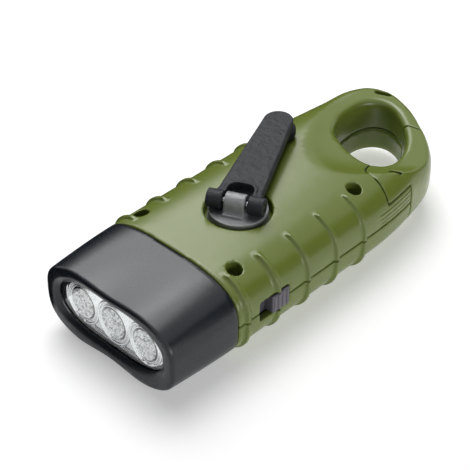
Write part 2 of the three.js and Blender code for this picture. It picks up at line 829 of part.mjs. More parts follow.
function lamp(y) {
  const base = ledBoardFront + gap;
  const dome = [0, 1, 2, 3].map((i) => {
    const turn = (Math.PI / 2) * (i / 3);
    return [lampRadius * Math.cos(turn), base + lampHeight + lampRadius * Math.sin(turn)];
  });
  const [rim, step] = [lampRadius + lampFlange, base + lampFlangeHeight];
  return turnedAlongX([[0, base], [rim, base], [rim, step], [lampRadius, step], ...dome], y, mid, 16);
}

function ledScrew(side) {
  const head = ledBoardFront - boardThickness - gap;
  const back = head - ledScrewHeadHeight;
  const tip = head + ledScrewLength;
  return turnedAlongX([
    [0, back], [ledScrewHeadRadius, back], [ledScrewHeadRadius, head],
    [ledScrewRadius, head], [ledScrewRadius, tip], [0, tip],
  ], side * ledScrewY, mid, 12);
}

// Crank, in a frame of its own: x along the arm, the hub's axis on z

const hingeX = -hingeBack;
const tipX = hingeX + armLength;

function barrel(y0, y1, radius, sides = 24) {
  const geometry = new THREE.CylinderGeometry(radius, radius, y1 - y0, sides);
  return solid(geometry.translate(hingeX, (y0 + y1) / 2, hingeHeight));
}

function crankHub() {
  const base = recessFloor + gap;
  const body = turned([
    [0, crankGearBase], [hubShaftRadius, crankGearBase], [hubShaftRadius, base],
    [discFlangeRadius, base], [discFlangeRadius, base + discFlangeHeight],
    [discRadius, base + discFlangeHeight], [discRadius, discTop - gap],
    [discRadius - gap, discTop], [0, discTop],
  ], 40);
  const half = knuckleWidth / 2;
  const ear = unite(
    barrel(-half, half, barrelRadius),
    block(hingeX - barrelRadius, hingeX + barrelRadius, -half, half, discTop - knuckleRoot, hingeHeight),
    block(
      hingeX - barrelRadius - knuckleStep, hingeX, -half, half,
      discTop - knuckleRoot, discTop + knuckleRoot));
  const flat = block(
    hubShaftRadius * hubFlatShare, 2 * hubShaftRadius, -width, width, 0, crankGearBase + gearThickness + gap);
  return cut(
    unite(body, ear), flat,
    barrel(-width, width, hingePinRadius + gap, 16),
    drum(0, 0, shankRadius + gap, 0, discTop - wall, 16));
}

function crankGear() {
  const bore = cut(
    drum(0, 0, hubShaftRadius + gap, 0, depth, 32),
    block(hubShaftRadius * hubFlatShare + gap, 2 * hubShaftRadius, -width, width, 0, depth));
  return cut(gear(crankTeeth, crankGearBase, crankGearBase + gearThickness + gap), bore);
}

function hubWasher() {
  const bore = shankRadius + gap;
  const [base, top] = [crankGearBase - 2 * gap, crankGearBase - gap];
  return turned([[bore, base], [washerRadius, base], [washerRadius, top], [bore, top], [bore, base]], 24);
}

function armSection(x, half, top, bottom, chamfer) {
  return [
    [-half, bottom], [half, bottom], [half, top - chamfer], [half - chamfer, top],
    [-half + chamfer, top], [-half, top - chamfer],
  ].map(([y, z]) => new THREE.Vector3(x, y, z));
}

function crankArm() {
  const start = hingeX + barrelRadius;
  const topAt = (x) => armRootTop + ((armTipTop - armRootTop) * (x - start)) / (tipX - start);
  const halfAt = (x) => armRootHalf + ((armTipRadius - armRootHalf) * (x - start)) / (tipX - start);
  const straight = [start - armRootRun, tipX - armLength / 2, tipX].map((x) => [x, halfAt(x)]);
  const round = [0.3, 0.55, 0.75, 0.9, 0.98].map((k) => {
    const turn = Math.asin(k);
    return [tipX + armTipRadius * k, armTipRadius * Math.cos(turn)];
  });
  const plate = skin([...straight, ...round].map(([x, half]) => armSection(
    x, half, topAt(x), topAt(x) - armDepth, 2 * gap)));
  const channel = skin([start + armChannelSetback, tipX - armTipRadius - armTipWall].map((x) => armSection(
    x, halfAt(x) - armSkin, topAt(x) - armSkin, topAt(x) - armDepth - overrun, gap)));
  const half = knuckleWidth / 2 + gap;
  const root = armRootHalf - gap / 2;
  const ears = [[-barrelLength / 2, -half], [half, barrelLength / 2]].map(([y0, y1]) => unite(
    barrel(y0, y1, barrelRadius),
    block(hingeX, start + armRootRun, Math.max(y0, -root), Math.min(y1, root),
      armRootTop - armDepth + gap / 2, armRootTop)));
  const windowEnd = start + armWindowReach;
  const window = prism([
    [hingeX - width, -half], [windowEnd - half / 2, -half], [windowEnd, -half / 2],
    [windowEnd, half / 2], [windowEnd - half / 2, half], [hingeX - width, half],
  ], 0, 2 * depth);
  return cut(
    unite(cut(plate, channel), ...ears), window,
    barrel(-width, width, hingePinRadius + gap, 16),
    drum(tipX, 0, knobScrewRadius + gap, 0, armTipTop - armCover, 16));
}

function crankKnob() {
  const bore = knobScrewRadius + gap;
  const room = knobScrewHeadRadius + gap;
  const seat = knobBase + knobScrewSink + gap;
  return turned([
    [bore, seat], [room, seat], [room, knobBase], [knobRadius - knobBevel, knobBase],
    [knobRadius, knobBase + knobBevel], [knobRadius, knobTop - knobBevel], [knobRadius - knobBevel, knobTop],
    [bore, knobTop], [bore, seat],
  ], 28);
}

function knobScrew() {
  const seat = knobBase + knobScrewSink;
  const head = seat - knobScrewHeadHeight;
  const tip = armTipTop - knobScrewCover;
  return turned([
    [0, head], [knobScrewHeadRadius, head], [knobScrewHeadRadius, seat],
    [knobScrewRadius, seat], [knobScrewRadius, tip], [0, tip],
  ], 16);
}

// Pieces inside the case

function steppedGear(wheelTeeth, wheelBase, pinionTop) {
  const wheelTop = wheelBase + gearThickness;
  return cut(
    unite(gear(wheelTeeth, wheelBase, wheelTop), gear(pinionTeeth, wheelTop - gap, pinionTop)),
    drum(0, 0, idlerPinRadius + gap, 0, depth, 16));
}

function gearboxPlate() {
  const lobes = plateSpots.map(([x, y]) => {
    const ring = [];
    for (let i = 0; i < 24; i += 1) {
      const turn = (2 * Math.PI * i) / 24;
      ring.push([x + plateLobe * Math.cos(turn), y + plateLobe * Math.sin(turn)]);
    }
    return ring;
  });
  const hull = wasm.Manifold.hull(lobes.map((ring) => prism(ring, plateBase, plateBase + plateThickness)));
  return cut(
    unite(hull, drum(rotor.x, rotor.y, canRadius + gap, plateBase, plateBase + plateThickness, 48)),
    ...screwSpots.map(([x, y]) => drum(x, y, columnRadius + gap, 0, depth)),
    ...plateSpots.map(([x, y]) => drum(x, y, idlerPinRadius + gap, 0, depth, 12)),
    drum(idlerOne.x, idlerOne.y, idlerPinRadius + gap, 0, depth, 16),
    drum(idlerTwo.x, idlerTwo.y, idlerPinRadius + gap, 0, depth, 16),
    drum(rotor.x, rotor.y, rotorShaftRadius + gap, 0, depth, 16));
}

function screw(head, shank, seat, headHeight, tip, up) {
  const sign = up ? 1 : -1;
  const profile = [
    [0, seat - sign * headHeight], [head, seat - sign * headHeight], [head, seat],
    [shank, seat], [shank, tip], [0, tip],
  ];
  return turned(profile, 12);
}

function generatorCan() {
  const top = plateBase - gap;
  return turned([
    [rotorShaftRadius + gap, canBase], [canRadius, canBase], [canRadius, top], [canRadius - sheet, top],
    [canRadius - sheet, canBase + sheet], [rotorShaftRadius + gap, canBase + sheet],
    [rotorShaftRadius + gap, canBase],
  ], 36);
}

function statorCore() {
  const base = canBase + sheet + gap;
  const top = plateBase - 2 * gap - sheet;
  const inner = magnetRadius + 2 * gap;
  const ring = turned([
    [inner, base], [inner + poleThickness, base], [inner + poleThickness, top], [inner, top], [inner, base],
  ], 40);
  const slots = Array.from({ length: poleCount }, (_, i) => {
    const turn = (2 * Math.PI * i) / poleCount;
    const slot = block(0, 2 * canRadius, -sheet / 2, sheet / 2, base + sheet, top + overrun);
    return slot.rotate([0, 0, THREE.MathUtils.radToDeg(turn)]);
  });
  return cut(ring, ...slots);
}

function statorCoil() {
  const base = canBase + sheet + gap;
  const top = plateBase - 2 * gap - sheet;
  const inner = magnetRadius + 3 * gap + poleThickness;
  const outer = canRadius - sheet - gap;
  return turned([[inner, base], [outer, base], [outer, top], [inner, top], [inner, base]], 40);
}

function rotorMagnet() {
  const base = canBase + sheet + gap;
  const top = plateBase - 2 * gap - sheet;
  const bore = rotorShaftRadius + gap;
  return turned([[bore, base], [magnetRadius, base], [magnetRadius, top], [bore, top], [bore, base]], 32);
}

function rotorPinion() {
  return unite(
    gear(rotorTeeth, wheelTwoBase, wheelTwoBase + gearThickness + gap),
    drum(0, 0, rotorShaftRadius, canBase + gap, wheelTwoBase + gearThickness + 2 * gap, 16));
}

function batteryHolder() {
  const floor = holderBase + holderFloor;
  const radius = cellRadius + gap;
  return turned([
    [0, holderBase], [radius + sheet, holderBase], [radius + sheet, floor + cellHeight],
    [radius, floor + cellHeight], [radius, floor], [0, floor],
  ], 40);
}

function batteryCell(index) {
  const base = holderBase + holderFloor + gap + index * (cellHeight + gap);
  const top = base + cellHeight;
  return turned([
    [0, base], [cellRadius, base], [cellRadius, top - cellBevel], [cellRadius - cellBevel, top], [0, top],
  ], 36);
}

function switchBody() {
  const x0 = switchX - slotLength / 2 + gap;
  const y0 = boardFace + boardThickness + gap;
  const x1 = x0 + slotLength - switchBodyDepth;
  return block(x0, x1, y0, y0 + switchBodyDepth, slotZ - slotHeight / 2, slotZ + slotHeight / 2);
}

function switchKnob() {
  const x0 = switchX - slotLength / 2 + gap + switchPlay;
  const x1 = x0 + switchKnobLength;
  const halfZ = slotHeight / 2 - gap - switchPlay;
  const flangeY = boardFace + boardThickness + switchBodyDepth + 2 * gap;
  const face = halfWidth + switchProud;
  const grip = Array.from({ length: 4 }, (_, i) => {
    const x = x0 + (switchKnobLength * (i + 0.5)) / 4;
    return block(
      x - switchGripHalf, x + switchGripHalf, face - gap, face + switchProud, slotZ - halfZ, slotZ + halfZ);
  });
  const lip = halfZ + switchFlangeLip;
  const reach = x1 + switchTravel - 4 * switchPlay;
  return unite(
    block(x0, x1, flangeY, face, slotZ - halfZ, slotZ + halfZ),
    block(x0 - switchFlangeReach, reach, flangeY, flangeY + switchFlange, slotZ - lip, slotZ + lip),
    ...grip);
}

function mainBoard() {
  const x1 = screwX[0] - columnRadius - gap;
  return block(
    x1 - boardLength, x1, boardFace, boardFace + boardThickness, mid - boardBelow, mid + boardAbove);
}

function solarWindow() {
  const inset = 2 * gap;
  return solarRoom(solarLength - inset, solarWidth - inset, windowBase, windowBase + windowThickness);
}

function solarCell() {
  const inset = 2 * solarLedge + 2 * gap;
  return solarRoom(solarLength - inset, solarWidth - inset, windowBase + windowThickness + gap, wall);
}

// Gate, its pin and the coil spring round the pin

function carabinerGate() {
  const { x, y } = gatePivot;
  const bore = drum(x, y, gatePinRadius + gap, 0, ledgeTop + wall + gap, 20);
  return cut(form.intersect(gateRoom(0)), bore, markCutter(gateMark));
}

function gateSpring() {
  const stepsPerTurn = 12;
  const sides = 5;
  const total = springTurns * stepsPerTurn;
  const base = ledgeTop - wall;
  const climb = (wall - 2 * springWire) / total;
  const rings = [];
  for (let i = 0; i <= total; i += 1) {
    const turn = (2 * Math.PI * i) / stepsPerTurn;
    const ring = [];
    for (let k = 0; k < sides; k += 1) {
      const lean = (2 * Math.PI * k) / sides;
      const r = springRadius + springWire * Math.cos(lean);
      const z = base + springWire + climb * i + springWire * springFlatness * Math.sin(lean);
      ring.push(new THREE.Vector3(gatePivot.x + r * Math.cos(turn), gatePivot.y + r * Math.sin(turn), z));
    }
    rings.push(ring);
  }
  return skin(rings);
}

// Assembly

place('top_shell', topShell(), materials.shell);
place('bottom_shell', bottomShell(), materials.shell);
screwSpots.forEach(([x, y], i) => {
  const body = screw(screwHeadRadius, shankRadius, screwSeat + gap, -screwHeadHeight, 2 * wall, true);
  place(`case_screw_${i + 1}`, body, materials.steel).position.set(x, y, 0);
});

place('head_bezel', headBezel(), materials.black);
place('front_lens', frontLens(), materials.clear);
place('reflector', reflector(), materials.chrome);
place('led_board', ledBoard(), materials.board);
['led_right', 'led_centre', 'led_left'].forEach((name, i) => {
  place(name, lamp((i - 1) * cupPitch), materials.clear);
});
[-1, 1].forEach((side, i) => place(`led_screw_${i + 1}`, ledScrew(side), materials.steel));

place('solar_window', solarWindow(), materials.clear);
place('solar_cell', solarCell(), materials.cell);
place('main_board', mainBoard(), materials.board);
place('switch_body', switchBody(), materials.steel);
place('switch_knob', switchKnob(), materials.crank);
place('battery_holder', batteryHolder(), materials.black).position.set(holderX, 0, 0);
[0, 1].forEach((index) => {
  place(`battery_cell_${index + 1}`, batteryCell(index), materials.steel).position.set(holderX, 0, 0);
});

const crank = new THREE.Group();
crank.position.set(hubX, hubY, 0);
crank.rotation.z = radians(crankAngle);
torch.add(crank);
place('crank_hub', crankHub(), materials.crank, crank);
place('crank_gear', crankGear(), materials.nylon, crank);
place('hub_washer', hubWasher(), materials.steel, crank);
place('hub_screw', screw(
  hubScrewHeadRadius, shankRadius, crankGearBase - 3 * gap, hubScrewHeadHeight, discTop - wall - gap, true),
materials.steel, crank);
place('hinge_pin', barrel(-barrelLength / 2 + gap, barrelLength / 2 - gap, hingePinRadius, 16),
  materials.steel, crank);
place('crank_arm', crankArm(), materials.crank, crank);
place('knob_screw', knobScrew(), materials.steel, crank).position.set(tipX, 0, 0);
place('crank_knob', crankKnob(), materials.knob, crank).position.set(tipX, 0, 0);

const turnOne = meshTurn(radians(crankAngle), crankTeeth, pinionTeeth, idlerOneAngle);
const turnTwo = meshTurn(turnOne, wheelOneTeeth, pinionTeeth, idlerTwoAngle);
const turnRotor = meshTurn(turnTwo, wheelTwoTeeth, rotorTeeth, rotorAngle);
const idlerOneGear = place('idler_gear_1',
  steppedGear(wheelOneTeeth, wheelOneBase, crankGearBase + gearThickness + gap), materials.nylon);
idlerOneGear.position.set(idlerOne.x, idlerOne.y, 0);
idlerOneGear.rotation.z = turnOne;
const idlerTwoGear = place('idler_gear_2',
  steppedGear(wheelTwoTeeth, wheelTwoBase, wheelOneBase + gearThickness), materials.nylon);
idlerTwoGear.position.set(idlerTwo.x, idlerTwo.y, 0);
idlerTwoGear.rotation.z = turnTwo;
const pinTop = depth - wall - 2 * gap;
place('idler_pin_1', drum(idlerOne.x, idlerOne.y, idlerPinRadius, plateBase, pinTop, 16), materials.steel);
const shortPinTop = wheelOneBase + gearThickness + gap;
place('idler_pin_2', drum(idlerTwo.x, idlerTwo.y, idlerPinRadius, plateBase, shortPinTop, 16), materials.steel);
place('gearbox_plate', gearboxPlate(), materials.black);
plateSpots.forEach(([x, y], i) => {
  const body = screw(
    screwHeadRadius, idlerPinRadius, plateBase - gap, plateScrewHeadHeight, crankGearBase, true);
  place(`gearbox_screw_${i + 1}`, body, materials.steel).position.set(x, y, 0);
});
place('generator_can', generatorCan(), materials.steel).position.set(rotor.x, rotor.y, 0);
place('stator_core', statorCore(), materials.steel).position.set(rotor.x, rotor.y, 0);
place('stator_coil', statorCoil(), materials.copper).position.set(rotor.x, rotor.y, 0);
place('rotor_magnet', rotorMagnet(), materials.magnet).position.set(rotor.x, rotor.y, 0);
const rotorPart = place('rotor_pinion', rotorPinion(), materials.brass);
rotorPart.position.set(rotor.x, rotor.y, 0);
rotorPart.rotation.z = turnRotor;

place('carabiner_gate', carabinerGate(), materials.shell);
const gatePin = drum(gatePivot.x, gatePivot.y, gatePinRadius, gatePinBase, ledgeTop + wall, 20);
place('gate_pin', gatePin, materials.steel);
place('gate_spring', gateSpring(), materials.steel);

export default torch;
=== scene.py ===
import json
import logging
import math
from dataclasses import dataclass, field
from enum import Enum
from itertools import product
from typing import Any, Sequence

import bpy
import numpy as np
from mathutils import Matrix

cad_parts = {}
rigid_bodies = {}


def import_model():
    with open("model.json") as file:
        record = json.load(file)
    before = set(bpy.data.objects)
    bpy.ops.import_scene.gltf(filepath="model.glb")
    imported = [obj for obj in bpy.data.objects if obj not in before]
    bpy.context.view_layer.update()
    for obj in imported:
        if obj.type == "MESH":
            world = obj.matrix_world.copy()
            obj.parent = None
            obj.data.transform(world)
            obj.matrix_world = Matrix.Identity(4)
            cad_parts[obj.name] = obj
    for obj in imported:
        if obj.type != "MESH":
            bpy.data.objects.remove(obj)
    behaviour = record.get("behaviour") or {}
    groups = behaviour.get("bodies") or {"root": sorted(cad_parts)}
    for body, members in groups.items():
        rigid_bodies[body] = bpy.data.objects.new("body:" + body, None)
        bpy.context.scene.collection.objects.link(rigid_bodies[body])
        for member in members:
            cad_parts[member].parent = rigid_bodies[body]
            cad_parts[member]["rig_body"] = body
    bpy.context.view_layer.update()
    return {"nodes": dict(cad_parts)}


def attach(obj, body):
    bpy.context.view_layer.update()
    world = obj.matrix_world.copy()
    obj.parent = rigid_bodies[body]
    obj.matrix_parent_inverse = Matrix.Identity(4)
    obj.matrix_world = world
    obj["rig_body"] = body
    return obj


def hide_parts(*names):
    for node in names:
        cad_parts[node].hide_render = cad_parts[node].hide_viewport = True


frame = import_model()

import openvdb
from mathutils import Vector

LOG = logging.getLogger("torch")
MM = 0.001
Array = np.ndarray
Point = tuple[float, float, float]
Spot = tuple[float, float]


# Solids as distances on a lattice


class Field:
    """A solid as signed distances in millimetres, negative inside."""

    def __init__(self, values: Array) -> None:
        """Keeps the distances, which may still broadcast over the lattice."""
        self.values = values

    def __or__(self, other: "Field") -> "Field":
        """Both solids together."""
        return Field(np.minimum(self.values, other.values))

    def __and__(self, other: "Field") -> "Field":
        """What the two solids share."""
        return Field(np.maximum(self.values, other.values))

    def __sub__(self, other: "Field") -> "Field":
        """This solid with the other cut away."""
        return Field(np.maximum(self.values, -other.values))

    def meet(self, other: "Field", radius: float) -> "Field":
        """What the two share, with a round of that radius where they cross.

        Args:
            other: the second solid.
            radius: the round's radius.

        Returns:
            The shared part.
        """
        a, b = self.values, other.values
        corner = np.hypot(np.maximum(a + radius, 0), np.maximum(b + radius, 0))
        return Field(np.minimum(np.maximum(a, b), -radius) + corner)

    def less(self, other: "Field", radius: float) -> "Field":
        """This solid with the other cut away and the new rim rounded."""
        return self.meet(Field(-other.values), radius)

    def join(self, other: "Field", radius: float) -> "Field":
        """Both solids with a fillet of that radius between them."""
        return Field(-Field(-self.values).meet(Field(-other.values), radius).values)

    def grown(self, by: float) -> "Field":
        """The solid with its skin moved out by that many millimetres."""
        return Field(self.values - by)


@dataclass
class Lattice:
    """A box of evenly spaced points on which solids are drawn and skinned."""

    low: Point
    high: Point
    step: float
    x: Array = field(init=False)
    y: Array = field(init=False)
    z: Array = field(init=False)

    def __post_init__(self) -> None:
        """Lays out the three axes so that they broadcast to the whole box."""
        axes = [np.arange(a, b + self.step, self.step, dtype=np.float32) for a, b in zip(self.low, self.high)]
        self.x = axes[0][:, None, None]
        self.y = axes[1][None, :, None]
        self.z = axes[2][None, None, :]

    def box(self, low: Point, high: Point, radius: float = 0.0) -> Field:
        """A block between two corners.

        Args:
            low: lowest corner.
            high: highest corner.
            radius: round of its edges.

        Returns:
            The block.
        """
        sides = []
        for axis, a, b in zip((self.x, self.y, self.z), low, high):
            sides.append(np.abs(axis - (a + b) / 2) - (b - a) / 2 + radius)
        out = np.sqrt(sum(np.maximum(s, 0) ** 2 for s in sides))
        inner = np.minimum(np.maximum(np.maximum(sides[0], sides[1]), sides[2]), 0)
        return Field(out + inner - radius)

    def disc(self, spot: Spot, radius: float) -> Field:
        """An endless upright cylinder about a spot in plan."""
        return Field(np.hypot(self.x - spot[0], self.y - spot[1]) - radius)

    def drum(self, spot: Spot, radius: float, z0: float, z1: float) -> Field:
        """An upright cylinder between two heights."""
        return self.disc(spot, radius) & self.layer(z0, z1)

    def layer(self, z0: float, z1: float) -> Field:
        """Everything between two heights."""
        return Field(np.maximum(z0 - self.z, self.z - z1))

    def groove(self, a: Spot, b: Spot, radius: float) -> Field:
        """An endless upright slot with round ends between two spots in plan.

        Args:
            a: centre of one end.
            b: centre of the other end.
            radius: half its width.

        Returns:
            The slot.
        """
        ex, ey = b[0] - a[0], b[1] - a[1]
        share = np.clip(((self.x - a[0]) * ex + (self.y - a[1]) * ey) / (ex * ex + ey * ey), 0, 1)
        return Field(np.hypot(self.x - a[0] - share * ex, self.y - a[1] - share * ey) - radius)

    def plan(self, outline: Array) -> Field:
        """An endless upright prism on a closed outline.

        Args:
            outline: points of the outline in order, as rows of x and y.

        Returns:
            Exact distances to the outline, the same at every height.
        """
        px, py = self.x[:, :, 0], self.y[:, :, 0]
        best = np.full(np.broadcast(px, py).shape, np.inf)
        inside = np.zeros(best.shape, bool)
        for (ax, ay), (bx, by) in zip(outline, np.roll(outline, -1, axis=0)):
            ex, ey = bx - ax, by - ay
            share = np.clip(((px - ax) * ex + (py - ay) * ey) / max(ex * ex + ey * ey, 1e-12), 0, 1)
            best = np.minimum(best, (px - ax - share * ex) ** 2 + (py - ay - share * ey) ** 2)
            if ay != by:
                inside ^= ((ay > py) != (by > py)) & (px < ax + (py - ay) * ex / ey)
        return Field(np.where(inside, -1.0, 1.0)[:, :, None] * np.sqrt(best)[:, :, None])

    def skin(self, solid: Field, adaptivity: float = 0.0) -> "Skin":
        """Draws the surface of a solid.

        Args:
            solid: the solid.
            adaptivity: how far flat regions may be simplified, from 0 to 1.

        Returns:
            Points, normals and faces of the surface, the points on the true surface.
        """
        shape = (self.x.size, self.y.size, self.z.size)
        band = 4 * self.step
        values = np.clip(np.broadcast_to(solid.values, shape), -band, band).astype(np.float32)
        for axis in range(3):
            edge = [slice(None)] * 3
            for side in (0, -1):
                edge[axis] = side
                values[tuple(edge)] = np.maximum(values[tuple(edge)], self.step)
        grid = openvdb.FloatGrid(band)
        grid.copyFromArray(values)
        points, triangles, quads = grid.convertToPolygons(isovalue=0.0, adaptivity=adaptivity)
        slopes = np.gradient(values)
        at = np.asarray(points, float)
        for _ in range(2):
            slope = np.stack([self._sample(s, at) for s in slopes], axis=1)
            steep = np.maximum(np.linalg.norm(slope, axis=1), 1e-6)
            miss = self._sample(values, at) / steep
            at = at - slope / steep[:, None] * np.clip(miss, -0.4, 0.4)[:, None]
        slope = np.stack([self._sample(s, at) for s in slopes], axis=1)
        normals = slope / np.maximum(np.linalg.norm(slope, axis=1), 1e-6)[:, None]
        return Skin(at * self.step + np.array(self.low), normals, [triangles, quads])

    @staticmethod
    def _sample(volume: Array, at: Array) -> Array:
        """Values of a volume between its lattice points, by straight interpolation.

        Args:
            volume: values at the lattice points.
            at: places, in steps of the lattice.

        Returns:
            One value for each place.
        """
        base = np.clip(np.floor(at).astype(int), 0, np.array(volume.shape) - 2)
        part = at - base
        total = np.zeros(len(at))
        for corner in product((0, 1), repeat=3):
            weight = np.prod(np.where(np.array(corner) == 1, part, 1 - part), axis=1)
            total += weight * volume[tuple((base + corner).T)]
        return total


@dataclass
class Skin:
    """A surface ready to become a mesh, in millimetres."""

    points: Array
    normals: Array | None
    faces: list[Array]
    sharp: float = 35.0

    def moved(self, turn: float, by: Point) -> "Skin":
        """The surface turned about the z axis by so many degrees, then moved.

        Args:
            turn: the turn in degrees.
            by: the move that follows it.

        Returns:
            A new surface.
        """
        c, s = math.cos(math.radians(turn)), math.sin(math.radians(turn))
        matrix = np.array([[c, s, 0], [-s, c, 0], [0, 0, 1]])
        normals = None if self.normals is None else self.normals @ matrix
        return Skin(self.points @ matrix + np.array(by), normals, self.faces, self.sharp)

    def mesh(self, name: str) -> bpy.types.Mesh:
        """Makes the Blender mesh, in metres, facing out and shaded smooth.

        Args:
            name: the mesh's name.

        Returns:
            The mesh.
        """
        groups = [np.asarray(f, int) for f in self.faces if len(f)]
        p = self.points
        volume = 0.0
        for g in groups:
            for k in range(1, g.shape[1] - 1):
                a, b, c = p[g[:, 0]], p[g[:, k]], p[g[:, k + 1]]
                volume += float(np.einsum("ij,ij->i", a, np.cross(b, c)).sum())
        if volume < 0:
            groups = [g[:, ::-1] for g in groups]
        loops = np.concatenate([g.ravel() for g in groups])
        counts = np.concatenate([np.full(len(g), g.shape[1]) for g in groups])
        starts = np.concatenate([[0], np.cumsum(counts)[:-1]])
        mesh = bpy.data.meshes.new(name)
        mesh.vertices.add(len(p))
        mesh.vertices.foreach_set("co", (p * MM).astype(np.float32).ravel())
        mesh.loops.add(len(loops))
        mesh.loops.foreach_set("vertex_index", loops.astype(np.int32))
        mesh.polygons.add(len(counts))
        mesh.polygons.foreach_set("loop_start", starts.astype(np.int32))
        mesh.update(calc_edges=True)
        mesh.validate()
        mesh.shade_smooth()
        if self.normals is None:
            mesh.set_sharp_from_angle(angle=math.radians(self.sharp))
        else:
            mesh.normals_split_custom_set_from_vertices(self.normals.tolist())
        return mesh


def smooth_line(points: Sequence[Spot], closed: bool, steps: int = 10) -> Array:
    """A smooth curve through points, with its speed eased by their spacing.

    Args:
        points: the points, in order.
        closed: whether the curve returns to its start.
        steps: points drawn between neighbours.

    Returns:
        The drawn points, as rows of x and y.
    """
    p = np.array(points, float)
    if closed:
        p = np.vstack([p[-1], p, p[0], p[1]])
    else:
        p = np.vstack([2 * p[0] - p[1], p, 2 * p[-1] - p[-2]])
    drawn = []
    for i in range(1, len(p) - 2):
        a, b, c, d = p[i - 1 : i + 3]
        t1 = np.linalg.norm(b - a) ** 0.5
        t2 = t1 + np.linalg.norm(c - b) ** 0.5
        t3 = t2 + np.linalg.norm(d - c) ** 0.5
        for t in np.linspace(t1, t2, steps, endpoint=False):
            ab = (t1 - t) / t1 * a + t / t1 * b
            bc = (t2 - t) / (t2 - t1) * b + (t - t1) / (t2 - t1) * c
            cd = (t3 - t) / (t3 - t2) * c + (t - t2) / (t3 - t2) * d
            low = (t2 - t) / t2 * ab + t / t2 * bc
            high = (t3 - t) / (t3 - t1) * bc + (t - t1) / (t3 - t1) * cd
            drawn.append((t2 - t) / (t2 - t1) * low + (t - t1) / (t2 - t1) * high)
    if not closed:
        drawn.append(p[-2])
    return np.array(drawn)


def lathe(profile: Sequence[Spot], sides: int = 64, along_x: bool = False) -> Skin:
    """A turned piece.

    Args:
        profile: radius and height of each corner, a closed run from the axis or from one point.
        sides: facets round it.
        along_x: turns about the x axis instead of z.

    Returns:
        Its surface.
    """
    turns = np.linspace(0, 2 * math.pi, sides, endpoint=False)
    points: list[Point] = []
    rings: list[list[int]] = []
    for r, h in profile:
        if r < 1e-6:
            rings.append([len(points)] * sides)
            points.append((0.0, 0.0, h))
            continue
        rings.append(list(range(len(points), len(points) + sides)))
        points += [(r * math.cos(t), r * math.sin(t), h) for t in turns]
    triangles, quads = [], []
    for low, high in zip(rings, rings[1:]):
        for i in range(sides):
            k = (i + 1) % sides
            loop = list(dict.fromkeys([low[i], low[k], high[k], high[i]]))
            (quads if len(loop) == 4 else triangles).append(loop)
    at = np.array(points)
    if along_x:
        at = at[:, [2, 0, 1]]
    return Skin(at, None, [np.array(f) for f in (triangles, quads) if f])


def smooth_step(low: float, high: float, value: Array) -> Array:
    """Rises from 0 to 1 as the value goes from low to high, eased at both ends."""
    share = np.clip((value - low) / (high - low), 0, 1)
    return share * share * (3 - 2 * share)


# Materials


def tone(code: str) -> tuple[float, float, float, float]:
    """The linear colour of a six-digit sRGB code.

    Args:
        code: the colour, as six hexadecimal digits.

    Returns:
        Red, green, blue and an alpha of 1.
    """
    parts = [int(code[i : i + 2], 16) / 255 for i in (0, 2, 4)]
    linear = [v / 12.92 if v <= 0.04045 else ((v + 0.055) / 1.055) ** 2.4 for v in parts]
    return (linear[0], linear[1], linear[2], 1.0)


class Wire:
    """A value on its way through a material; maths on it adds Math nodes."""

    def __init__(self, graph: "Graph", socket: bpy.types.NodeSocket | None) -> None:
        """Keeps the socket that the value comes from."""
        self.graph = graph
        self.socket = socket

    def _math(self, operation: str, *values: Any) -> "Wire":
        """One Math node on these values."""
        return self.graph.node("ShaderNodeMath", {"operation": operation}, dict(enumerate(values)))

    def __add__(self, other: Any) -> "Wire":
        """The sum."""
        return self._math("ADD", self, other)

    __radd__ = __add__

    def __sub__(self, other: Any) -> "Wire":
        """The difference."""
        return self._math("SUBTRACT", self, other)

    def __rsub__(self, other: Any) -> "Wire":
        """The difference from a number."""
        return self._math("SUBTRACT", other, self)

    def __mul__(self, other: Any) -> "Wire":
        """The product."""
        return self._math("MULTIPLY", self, other)

    __rmul__ = __mul__

    def __truediv__(self, other: Any) -> "Wire":
        """The quotient."""
        return self._math("DIVIDE", self, other)

    def wrapped(self, period: float) -> "Wire":
        """The remainder over a period, never negative."""
        return self._math("WRAP", self, period, 0.0)

    def over(self, edge: Any) -> "Wire":
        """One where the value is above an edge, else zero."""
        return self._math("GREATER_THAN", self, edge)

    def largest(self, other: Any) -> "Wire":
        """The larger of two values."""
        return self._math("MAXIMUM", self, other)


